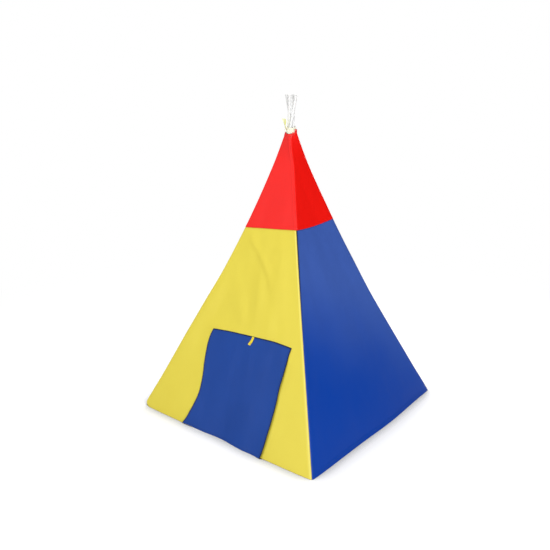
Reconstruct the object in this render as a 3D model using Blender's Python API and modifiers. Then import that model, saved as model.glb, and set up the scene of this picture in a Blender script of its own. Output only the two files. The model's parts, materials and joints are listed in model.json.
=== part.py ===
"""Kids' teepee: four jointed poles in corner sleeves, a fitted cloth cover with a lifting door, and a tie at the top.

Metres, +Z up, the floor at z = 0 and the door facing -Y. Each leg is built in a frame of its own at the
crossing of the poles (x outward over its corner, y sideways), and each wall in a frame at the same place
(outward is -y), so a leg or a wall turns about the crossing. Front left, front right, back right and back
left are written fl, fr, br and bl.
"""

import math

import bmesh
import bpy
import numpy as np
from mathutils import Matrix, Vector

for old in list(bpy.data.objects):
    bpy.data.objects.remove(old, do_unlink=True)

# Driving sizes of the cover

base_half = 0.500  # from the middle to a wall at the floor
apex_height = 1.350  # where the straight lines of the corners would meet
bow_depth = 0.031  # how far the taut cloth pulls the corners in
bow_share = 1.25  # moves the deepest place of that bow below the middle
cover_top = 1.290
rim_ease = 0.0035  # the cloth stands off again where it closes round the poles
rim_ease_run = 0.140  # over this much below the top
seam_height = 0.887  # between the lower panel and the red top
sheet_thickness = 0.0012
steepest_lean = math.radians(23)
touch_gap = 0.0003  # between pieces that touch

# Driving sizes of the poles

pole_diameter = 0.012
pole_wall = 0.001
crossing_above_cover = 0.045
tip_above_crossing = 0.115
crossing_offset = 0.0094  # each pole passes beside the middle by this much
tip_spread_share = 0.18  # how fast the poles part again above the crossing
pole_break_shares = (0.324, 0.655)  # where the sections meet, as shares of the height
spigot_reach = 0.028
spigot_gap = 0.0006
collar_height = 0.006
sleeve_wall = 0.001
sleeve_gap = 0.0005
sleeve_bottom = 0.036
sleeve_below_top = 0.140
foot_height = 0.006  # the lower end of the pole above the floor
foot_cap_wall = 0.0010
foot_cap_gap = 0.0005
foot_cap_height = 0.022
tip_cap_height = 0.004
tip_spigot_reach = 0.014
round_edge = 0.0012

# Driving sizes of the door, as places on the front wall: (height, x)

door_left_edge = ((0.000, -0.230), (0.107, -0.194), (0.195, -0.187), (0.278, -0.200), (0.417, -0.190))
door_right_edge = ((0.000, 0.232), (0.031, 0.242), (0.113, 0.253), (0.232, 0.249), (0.352, 0.250), (0.438, 0.259))
door_bottom = 0.002
door_fold_depth = 0.007  # the free cloth stands off the wall in soft waves
door_folds_share = 2.5
door_stand_off = 0.0004
doorway_middle = 0.025
doorway_width = 0.380
doorway_height = 0.388
doorway_corner = 0.060
binding_width = 0.015
binding_thickness = 0.0010
door_tie_place = 0.043
door_tie_width = 0.012
door_tie_length = 0.034
door_tie_thickness = 0.0010
inner_tie_top = 0.428
inner_tie_length = 0.075

# Driving sizes of the tie at the top

ribbon_thickness = 0.0010
ribbon_width = 0.010
wrap_below_crossing = 0.021  # from the crossing down to the band's upper edge
wrap_height = 0.012
wrap_gap = 0.0005
knot_radius = 0.0060
knot_cord = 0.0016
knot_depth = 0.0019
knot_side = math.radians(225)
tail_length = 0.040
tail_lean = math.radians(27)
tail_spread = math.radians(22)
tail_curl_share = 0.6
lead_gap = 0.002  # between the lead's lower end and the cloth

# Fits that follow from those sizes

crossing_height = cover_top + crossing_above_cover
pole_top = crossing_height + tip_above_crossing
rim_ease_height = cover_top - rim_ease_run
bend_height = cover_top - rim_ease_run  # the poles leave the cover's corners above this
sleeve_top = cover_top - sleeve_below_top
pole_breaks = [share * pole_top for share in pole_break_shares]
wrap_top = crossing_height - wrap_below_crossing
wrap_bottom = wrap_top - wrap_height
lead_end = cover_top + lead_gap
pole_radius = pole_diameter / 2
bore_radius = pole_radius - pole_wall
sleeve_inner = pole_radius + sleeve_gap
sleeve_outer = sleeve_inner + sleeve_wall
sheet_across = sheet_thickness / math.cos(steepest_lean)
corner_gap = sheet_across + touch_gap
pole_seat = (sheet_thickness + 2 * touch_gap + sleeve_outer) / math.cos(steepest_lean)
spigot_radius = bore_radius - spigot_gap

corners = {"fr": 315, "br": 45, "bl": 135, "fl": 225}
sides = {"front": 0, "right": 90, "back": 180, "left": 270}

YELLOW = (0.84, 0.71, 0.085)
BLUE = (0.045, 0.10, 0.36)
DOOR_BLUE = (0.027, 0.080, 0.30)
RED = (0.86, 0.035, 0.022)
CREAM = (0.80, 0.84, 0.30)
WHITE = (0.83, 0.83, 0.83)
PALE = (0.70, 0.70, 0.68)
DARK = (0.10, 0.10, 0.11)

parts = bpy.data.collections.new("kids_teepee")
cutters = bpy.data.collections.new("cutters")
bpy.context.scene.collection.children.link(parts)
bpy.context.scene.collection.children.link(cutters)


# Shape of the cover and of a pole


def wall_half(z):
    """From the middle to the outside of a wall at height z."""
    share = z / apex_height
    ease = min(max((z - rim_ease_height) / (cover_top - rim_ease_height), 0.0), 1.0)
    bow = bow_depth * math.sin(math.pi * min(share, 1.0) ** bow_share)
    return base_half * (1 - share) - bow + rim_ease * ease**2


def pole_side(z):
    """How far a pole stands to the side of the line over its corner."""
    return crossing_offset * math.sin(math.pi / 2 * min(z / crossing_height, 1.0))


def pole_seated(z):
    return math.sqrt(2) * (wall_half(z) - pole_seat) - pole_side(z)


def pole_out(z):
    """How far a pole is from the middle, along the line over its corner."""
    if z <= bend_height:
        return pole_seated(z)
    if z >= cover_top:
        return tip_spread_share * (crossing_height - z)
    run = cover_top - bend_height
    small = run / 1000
    s = (z - bend_height) / run
    start = pole_seated(bend_height)
    slope = (start - pole_seated(bend_height - small)) / small
    end = tip_spread_share * (crossing_height - cover_top)
    rising = 2 * s**3 - 3 * s**2 + 1
    leaving = (s**3 - 2 * s**2 + s) * run * slope
    arriving = (s**3 - s**2) * run * -tip_spread_share
    return rising * start + leaving + (1 - rising) * end + arriving


def pole_at(z):
    """A place on a pole's middle line, in the leg's own frame."""
    return Vector((pole_out(z), pole_side(z), z - crossing_height))


def pole_way(z):
    """Which way a pole runs there, upwards."""
    step = pole_diameter / 4
    return (pole_at(z + step) - pole_at(z - step)).normalized()


def smooth_along(pairs, at):
    """A smooth line through (height, x) pairs, as x at a height."""
    heights = [p[0] for p in pairs]
    places = [p[1] for p in pairs]
    slopes = np.gradient(places, heights)
    k = int(min(max(np.searchsorted(heights, at) - 1, 0), len(pairs) - 2))
    run = heights[k + 1] - heights[k]
    s = min(max((at - heights[k]) / run, 0.0), 1.0)
    rising = 2 * s**3 - 3 * s**2 + 1
    first = (s**3 - 2 * s**2 + s) * run * slopes[k]
    last = (s**3 - s**2) * run * slopes[k + 1]
    return float(rising * places[k] + first + (1 - rising) * places[k + 1] + last)


straight_rows = 12
bend_rows = 3
near_breaks = [b + way * (spigot_reach + collar_height) for b in pole_breaks for way in (-1, 0, 1)]
straight = [bend_height * k / straight_rows for k in range(straight_rows + 1)]
straight = [z for z in straight if min(abs(z - b) for b in near_breaks) > 2 * pole_diameter]
bend = [bend_height + (cover_top - bend_height) * (k + 1) / bend_rows for k in range(bend_rows)]
levels = sorted(straight + near_breaks + bend + [crossing_height, (crossing_height + pole_top) / 2])


def levels_between(low, high):
    """The heights where a long piece gets a row of corners, with its two ends."""
    room = pole_diameter
    return [low] + [z for z in levels if low + room < z < high - room] + [high]


# Making and placing


def own_material(name, colour, roughness):
    material = bpy.data.materials.new(name)
    material.use_nodes = True
    shader = material.node_tree.nodes["Principled BSDF"]
    shader.inputs["Base Color"].default_value = (*colour, 1)
    shader.inputs["Roughness"].default_value = roughness
    return material


def frame_at(name, place, turn):
    """An empty on a joint's axis, which carries the pieces that turn about it."""
    empty = bpy.data.objects.new(name, None)
    empty.location = place
    empty.rotation_euler = turn
    parts.objects.link(empty)
    return empty


def place(name, mesh, look, parent=None, at=(0, 0, 0), way=None, to=parts):
    thing = bpy.data.objects.new(name, mesh)
    thing.location = at
    if way is not None:
        thing.rotation_euler = Vector((0, 0, 1)).rotation_difference(way).to_euler()
    thing.parent = parent
    to.objects.link(thing)
    if to == cutters:
        thing.hide_render = True
        thing.display_type = "WIRE"
    else:
        mesh.materials.clear()
        mesh.materials.append(own_material(name, *look))
    return thing


def baked(thing):
    """The thing's shape with its modifiers, as a mesh of its own."""
    bpy.context.view_layer.update()
    graph = bpy.context.evaluated_depsgraph_get()
    return bpy.data.meshes.new_from_object(thing.evaluated_get(graph))


def settle(mesh):
    """Weld, face out and shade: round sides smooth, corners sharp."""
    work = bmesh.new()
    work.from_mesh(mesh)
    bmesh.ops.remove_doubles(work, verts=work.verts, dist=touch_gap / 100)
    bmesh.ops.recalc_face_normals(work, faces=work.faces)
    work.to_mesh(mesh)
    work.free()
    mesh.shade_smooth()
    mesh.set_sharp_from_angle(angle=math.radians(40))
    return mesh


def tube_mesh(name, points, outer, wall):
    """A hollow tube along the points."""
    curve = bpy.data.curves.new(name, "CURVE")
    curve.dimensions = "3D"
    curve.bevel_depth = outer
    curve.bevel_resolution = 2
    curve.use_fill_caps = False
    spline = curve.splines.new("POLY")
    spline.points.add(len(points) - 1)
    for knot, point in zip(spline.points, points):
        knot.co = (*point, 1)
    guide = bpy.data.objects.new(name, curve)
    cutters.objects.link(guide)
    mesh = baked(guide)
    bpy.data.objects.remove(guide)
    bpy.data.curves.remove(curve)
    skin = bpy.data.objects.new(name, settle(mesh))
    cutters.objects.link(skin)
    shell = skin.modifiers.new("wall", "SOLIDIFY")
    shell.thickness = wall
    shell.offset = -1
    mesh = baked(skin)
    bpy.data.objects.remove(skin)
    return settle(mesh)


def turned_mesh(name, profile, steps=16):
    """A turned solid from (radius, height) pairs, the outer side from top to bottom."""
    outline = bpy.data.meshes.new(name)
    edges = [(k, k + 1) for k in range(len(profile) - 1)]
    outline.from_pydata([(r, 0, z) for r, z in profile], edges, [])
    blank = bpy.data.objects.new(name, outline)
    cutters.objects.link(blank)
    lathe = blank.modifiers.new("lathe", "SCREW")
    lathe.axis = "Z"
    lathe.steps = steps
    lathe.render_steps = steps
    lathe.use_merge_vertices = True
    lathe.merge_threshold = touch_gap / 100
    mesh = baked(blank)
    bpy.data.objects.remove(blank)
    return settle(mesh)


def sheet_mesh(name, columns, rows, place_at, depth):
    """A sheet over a grid: place_at takes shares (0 to 1) across and up, and depth carries it to its other face."""
    work = bmesh.new()
    bmesh.ops.create_grid(work, x_segments=columns, y_segments=rows, size=1)
    for corner in work.verts:
        corner.co = place_at((corner.co.x + 1) / 2, (corner.co.y + 1) / 2)
    other = bmesh.ops.extrude_face_region(work, geom=work.faces[:], use_keep_orig=True)
    moved = [item for item in other["geom"] if isinstance(item, bmesh.types.BMVert)]
    bmesh.ops.translate(work, verts=moved, vec=depth)
    mesh = bpy.data.meshes.new(name)
    work.to_mesh(mesh)
    work.free()
    return settle(mesh)


def outline_mesh(name, points, reach):
    """A flat outline in the wall's plane (x, z), drawn out by reach to both sides along y."""
    curve = bpy.data.curves.new(name, "CURVE")
    curve.dimensions = "2D"
    curve.fill_mode = "BOTH"
    curve.extrude = reach
    spline = curve.splines.new("POLY")
    spline.points.add(len(points) - 1)
    for knot, (x, z) in zip(spline.points, points):
        knot.co = (x, z, 0, 1)
    spline.use_cyclic_u = True
    guide = bpy.data.objects.new(name, curve)
    cutters.objects.link(guide)
    mesh = baked(guide)
    bpy.data.objects.remove(guide)
    bpy.data.curves.remove(curve)
    mesh.transform(Matrix.Rotation(math.radians(90), 4, "X"))
    return settle(mesh)


def combine(thing, cutter, how):
    cut = thing.modifiers.new("cut", "BOOLEAN")
    cut.operation = how
    cut.solver = "EXACT"
    cut.object = cutter


# The legs

floor_block = bpy.data.meshes.new("floor_block")
block = bmesh.new()
bmesh.ops.create_cube(block, size=1)
bmesh.ops.scale(block, vec=(4 * base_half, 4 * base_half, foot_cap_height), verts=block.verts)
bmesh.ops.translate(block, vec=(0, 0, -foot_cap_height / 2), verts=block.verts)
block.to_mesh(floor_block)
block.free()
floor_cutter = place("floor_cutter", floor_block, None, to=cutters)

plastic = (WHITE, 0.35)
connector = (DARK, 0.5)
collar_half = collar_height / 2
cap_inner = pole_radius + foot_cap_gap
cap_outer = cap_inner + foot_cap_wall

spans = {
    "lower": (foot_height, pole_breaks[0] - collar_half - touch_gap),
    "middle": (pole_breaks[0] + collar_half + touch_gap, pole_breaks[1] - collar_half - touch_gap),
    "upper": (pole_breaks[1] + collar_half + touch_gap, pole_top - tip_cap_height - touch_gap),
}

joint_profile = [
    (0, collar_half + spigot_reach),
    (spigot_radius - round_edge, collar_half + spigot_reach),
    (spigot_radius, collar_half + spigot_reach - round_edge),
    (spigot_radius, collar_half),
    (pole_radius, collar_half),
    (pole_radius, -collar_half),
    (spigot_radius, -collar_half),
    (spigot_radius, -collar_half - spigot_reach + round_edge),
    (spigot_radius - round_edge, -collar_half - spigot_reach),
    (0, -collar_half - spigot_reach),
]

# The cup's floor is below the pole's end, and the cup reaches past the floor, where it is cut level.
foot_profile = [
    (0, -touch_gap),
    (cap_inner, -touch_gap),
    (cap_inner, foot_cap_height),
    (cap_outer - round_edge / 2, foot_cap_height),
    (cap_outer, foot_cap_height - round_edge / 2),
    (cap_outer, -2 * foot_height),
    (0, -2 * foot_height),
]

tip_profile = [
    (0, tip_cap_height),
    (pole_radius - 2 * round_edge, tip_cap_height),
    (pole_radius - round_edge / 2, tip_cap_height - round_edge / 2),
    (pole_radius, tip_cap_height - 2 * round_edge),
    (pole_radius, 0),
    (spigot_radius, 0),
    (spigot_radius, round_edge - tip_spigot_reach),
    (spigot_radius - round_edge, -tip_spigot_reach),
    (0, -tip_spigot_reach),
]

for corner, azimuth in corners.items():
    crossing = (0, 0, crossing_height)
    leg = frame_at(f"leg_{corner}_axis", crossing, (0, 0, math.radians(azimuth)))
    for span, (low, high) in spans.items():
        name = f"pole_{corner}_{span}"
        line = [pole_at(z) for z in levels_between(low, high)]
        place(name, tube_mesh(name, line, pole_radius, pole_wall), plastic, leg)
    for which, height in zip(("lower", "upper"), pole_breaks):
        name = f"connector_{corner}_{which}"
        place(name, turned_mesh(name, joint_profile), connector, leg, pole_at(height), pole_way(height))
    name = f"sleeve_{corner}"
    line = [pole_at(z) for z in levels_between(sleeve_bottom, sleeve_top)]
    cloth = (YELLOW if corner in ("fr", "bl") else BLUE, 0.9)
    place(name, tube_mesh(name, line, sleeve_outer, sleeve_wall), cloth, leg)
    name = f"foot_cap_{corner}"
    low_way = (pole_at(2 * foot_height) - pole_at(foot_height)).normalized()
    cap = place(name, turned_mesh(name, foot_profile), (PALE, 0.7), leg, pole_at(foot_height), low_way)
    combine(cap, floor_cutter, "DIFFERENCE")
    name = f"tip_cap_{corner}"
    tip_height = pole_top - tip_cap_height
    place(name, turned_mesh(name, tip_profile), plastic, leg, pole_at(tip_height), pole_way(tip_height))

# The walls, each in its own frame: the right-hand end runs to the corner, the left-hand end stops at the next wall

panel_columns = 6
top_columns = 3


def wall_place(share_across, z, inward=0.0):
    """A place on a wall, in its frame, at a height and this far inside its outer face."""
    half = wall_half(z)
    left = corner_gap - half
    return Vector((left + (half - left) * share_across, inward - half, z - crossing_height))


def panel_mesh(name, columns, low, high, inward=0.0, thick=sheet_across):
    rows = levels_between(low, high)
    count = len(rows) - 1

    def place_at(across, up):
        return wall_place(across, rows[round(up * count)], inward)

    return sheet_mesh(name, columns, count, place_at, (0, thick, 0))


def arch(width, height, corner, below):
    """Half-round-cornered outline of the doorway, down past the floor."""
    points = [(-width / 2, -below), (width / 2, -below)]
    turns = 6
    for k in range(turns + 1):
        a = math.pi / 2 * k / turns
        points.append((width / 2 - corner + corner * math.cos(a), height - corner + corner * math.sin(a)))
    for k in range(turns + 1):
        a = math.pi / 2 * (1 + k / turns)
        points.append((-width / 2 + corner + corner * math.cos(a), height - corner + corner * math.sin(a)))
    return [(x + doorway_middle, z - crossing_height) for x, z in points]


wall_frames = {}
half_seam = touch_gap / 2
for side, azimuth in sides.items():
    frame = frame_at(f"wall_{side}_axis", (0, 0, crossing_height), (0, 0, math.radians(azimuth)))
    wall_frames[side] = frame
    colour = YELLOW if side in ("front", "back") else BLUE
    name = f"panel_{side}"
    panel = place(name, panel_mesh(name, panel_columns, 0, seam_height - half_seam), (colour, 0.85), frame)
    name = f"top_{side}"
    place(name, panel_mesh(name, top_columns, seam_height + half_seam, cover_top), (RED, 0.85), frame)
    if side == "front":
        front_panel = panel

front = wall_frames["front"]
through = 2 * base_half
doorway_shape = outline_mesh("doorway", arch(doorway_width, doorway_height, doorway_corner, base_half), through)
doorway_cutter = place("doorway_cutter", doorway_shape, None, front, to=cutters)
combine(front_panel, doorway_cutter, "DIFFERENCE")

# The binding round the doorway lies on the inner face of the panel.
wide = doorway_width + 2 * binding_width
tall = doorway_height + binding_width
binding_shape = outline_mesh("binding_outside", arch(wide, tall, doorway_corner + binding_width, base_half), through)
binding_cutter = place("binding_cutter", binding_shape, None, front, to=cutters)
binding_inward = sheet_across + touch_gap
binding_sheet = panel_mesh(
    "doorway_binding", panel_columns, touch_gap, doorway_height + 3 * binding_width, binding_inward, binding_thickness
)
binding = place("doorway_binding", binding_sheet, (YELLOW, 0.85), front)
combine(binding, binding_cutter, "INTERSECT")
combine(binding, doorway_cutter, "DIFFERENCE")

# The door

hinge_left = Vector((door_left_edge[-1][1], 0, door_left_edge[-1][0]))
hinge_right = Vector((door_right_edge[-1][1], 0, door_right_edge[-1][0]))
hinge_out = door_stand_off + sheet_across / 2
for end in (hinge_left, hinge_right):
    end.y = -wall_half(end.z) - hinge_out
hinge_middle = (hinge_left + hinge_right) / 2
hinge_way = (hinge_right - hinge_left).normalized()
hinge_turn = Vector((1, 0, 0)).rotation_difference(hinge_way).to_euler()
crossing_place = Vector((0, 0, crossing_height))
door = frame_at("door_axis", hinge_middle - crossing_place, hinge_turn)
door.parent = front
bpy.context.view_layer.update()
into_door = door.matrix_world.inverted()


def hinge_height(x):
    """The height of the door's sewn edge at x."""
    share = (x - hinge_left.x) / (hinge_right.x - hinge_left.x)
    return hinge_left.z + (hinge_right.z - hinge_left.z) * share


def door_wave(across, up):
    """How far the door stands off the wall: nothing at the sewn edge, soft waves at the free end."""
    free = 1 - up
    wave = 0.5 - 0.5 * math.cos(2 * math.pi * (door_folds_share * across - 0.3 * free))
    return door_stand_off + door_fold_depth * free**1.4 * (0.25 + 0.75 * wave)


def door_x(across, up):
    left_z = door_bottom + (hinge_left.z - door_bottom) * up
    right_z = door_bottom + (hinge_right.z - door_bottom) * up
    left = smooth_along(door_left_edge, left_z)
    right = smooth_along(door_right_edge, right_z)
    return left + (right - left) * across


def door_place(across, up, out=0.0):
    """A place on the door's inner face, or this far outside it, in the door's frame."""
    x = door_x(across, up)
    z = door_bottom + (hinge_height(x) - door_bottom) * up
    y = -wall_half(z) - door_wave(across, up) - out
    return into_door @ Vector((x, y, z))


def outward(length):
    """A step straight out from the front wall, in the door's frame."""
    return into_door.to_3x3() @ Vector((0, -length, 0))


name = "door_flap"
flap_top_share = 0.997
flap_columns = 16
flap_rows = 10
flap_mesh = sheet_mesh(
    name, flap_columns, flap_rows, lambda u, v: door_place(u, v * flap_top_share), outward(sheet_across)
)
place(name, flap_mesh, (DOOR_BLUE, 0.8), door)

name = "door_tie"
tie_high_share = 0.990
tie_low_share = tie_high_share - door_tie_length / hinge_height(door_tie_place)
tie_half_share = door_tie_width / (hinge_right.x - hinge_left.x) / 2
tie_mid_share = (door_tie_place - hinge_left.x) / (hinge_right.x - hinge_left.x)
tie_out = sheet_across + touch_gap


def tie_place(u, v):
    across = tie_mid_share + (2 * u - 1) * tie_half_share - 0.008 * (1 - v)
    up = tie_low_share + (tie_high_share - tie_low_share) * v
    return door_place(across, up, tie_out + touch_gap)


tie_rows = 4
place(name, sheet_mesh(name, 2, tie_rows, tie_place, outward(door_tie_thickness)), (YELLOW, 0.85), door)

name = "door_tie_inner"
inner_tie_in = sheet_across + touch_gap


def inner_tie_place(u, v):
    z = inner_tie_top - inner_tie_length * (1 - v)
    x = door_tie_place + (u - 0.5) * door_tie_width
    return Vector((x, inner_tie_in - wall_half(inner_tie_top), z - crossing_height))


place(name, sheet_mesh(name, 1, 3, inner_tie_place, (0, door_tie_thickness, 0)), (YELLOW, 0.85), front)

# The tie at the top: a band round the four poles, a knot, two tails and a lead down to the cover

ring_steps = 28
crown = frame_at("crown_axis", (0, 0, crossing_height), (0, 0, 0))


def band_ring(z, stand_off):
    """A circle round the four poles at a height, wide enough for them to turn inside it when the legs fold."""
    radius = math.hypot(pole_out(z), pole_side(z)) + pole_radius / pole_way(z).z + stand_off
    turns = [2 * math.pi * k / ring_steps for k in range(ring_steps)]
    return [Vector((radius * math.cos(a), radius * math.sin(a), z - crossing_height)) for a in turns]


def band_mesh(name, low, high, rows, inner, outer):
    """A closed band lofted through the circles, which shrink with height."""
    heights = [low + (high - low) * k / rows for k in range(rows + 1)]
    rings = [band_ring(z, inner) for z in heights] + [band_ring(z, outer) for z in reversed(heights)]
    work = bmesh.new()
    loops = [[work.verts.new(point) for point in ring] for ring in rings]
    count = len(loops[0])
    for first, second in zip(loops, loops[1:] + loops[:1]):
        for k in range(count):
            work.faces.new((first[k], first[(k + 1) % count], second[(k + 1) % count], second[k]))
    mesh = bpy.data.meshes.new(name)
    work.to_mesh(mesh)
    work.free()
    return settle(mesh)


cream = (CREAM, 0.8)
name = "crown_wrap"
wrap_inner = wrap_gap
wrap_outer = wrap_gap + ribbon_thickness
place(name, band_mesh(name, wrap_bottom, wrap_top, 3, wrap_inner, wrap_outer), cream, crown)

knot_way = Vector((math.cos(knot_side), math.sin(knot_side), 0))
knot_height = (wrap_bottom + wrap_top) / 2
band_reach = max(point.dot(knot_way) for z in (wrap_bottom, wrap_top) for point in band_ring(z, wrap_outer))
knot_reach = band_reach + touch_gap + knot_depth + knot_cord
knot_centre = knot_way * knot_reach + Vector((0, 0, knot_height - crossing_height))
knot_across = Vector((-knot_way.y, knot_way.x, 0))
upright = Vector((0, 0, 1))

name = "crown_knot"
knot_steps = 30
turns = [2 * math.pi * k / knot_steps for k in range(knot_steps)]
knot_curve = bpy.data.curves.new(name, "CURVE")
knot_curve.dimensions = "3D"
knot_curve.bevel_depth = knot_cord
knot_curve.bevel_resolution = 1
loop = knot_curve.splines.new("POLY")
loop.points.add(knot_steps - 1)
for knot, a in zip(loop.points, turns):
    u = (math.sin(a) + 2 * math.sin(2 * a)) * knot_radius / 3
    v = (math.cos(a) - 2 * math.cos(2 * a)) * knot_radius / 3
    w = -knot_depth * math.sin(3 * a)
    knot.co = (*(knot_centre + u * knot_across + v * upright + w * knot_way), 1)
loop.use_cyclic_u = True
guide = bpy.data.objects.new(name, knot_curve)
cutters.objects.link(guide)
knot_shape = baked(guide)
bpy.data.objects.remove(guide)
bpy.data.curves.remove(knot_curve)
place(name, settle(knot_shape), cream, crown)

tail_rows = 6


def tail_mesh(name, lean, layer):
    """A free end of the ribbon, from the front of the knot up and to one side, bending away from the poles."""
    front_of_knot = knot_depth + knot_cord + touch_gap + layer * (ribbon_thickness + touch_gap)

    def place_at(u, v):
        along = knot_radius / 3 + tail_length * v
        out = front_of_knot + ribbon_width * tail_curl_share * v**2
        middle = knot_across * (along * math.sin(lean)) + upright * (along * math.cos(lean)) + knot_way * out
        across = knot_across * math.cos(lean) - upright * math.sin(lean)
        return knot_centre + middle + across * ((u - 0.5) * ribbon_width * (0.6 + 0.4 * v))

    return sheet_mesh(name, 2, tail_rows, place_at, knot_way * ribbon_thickness)


place("crown_tail_left", tail_mesh("crown_tail_left", -tail_lean, 0), cream, crown)
place("crown_tail_right", tail_mesh("crown_tail_right", tail_spread, 1), cream, crown)

name = "crown_lead"


def lead_place(u, v):
    low = lead_end + touch_gap - crossing_height
    high = knot_centre.z - knot_radius - knot_cord - touch_gap
    reach = knot_reach - knot_cord + (1 - v) * ribbon_width * 0.3
    middle = knot_way * reach + upright * (low + (high - low) * v)
    return middle + knot_across * ((u - 0.5) * ribbon_width * 0.7)


place(name, sheet_mesh(name, 1, 2, lead_place, knot_way * ribbon_thickness), cream, crown)
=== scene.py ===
# %% [markdown]
# # A kids' teepee, dressed
# Four white poles stand inside a fitted polyester cover: yellow and blue walls, a red top, and a blue
# door that is sewn along its upper edge. A ribbon ties the poles together above the cloth. The frame is
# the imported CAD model, which already has the right sizes. This script only gives each of its pieces its
# real surface. We load the frame first, and keep its box, so that we can compare sizes at the end.

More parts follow.
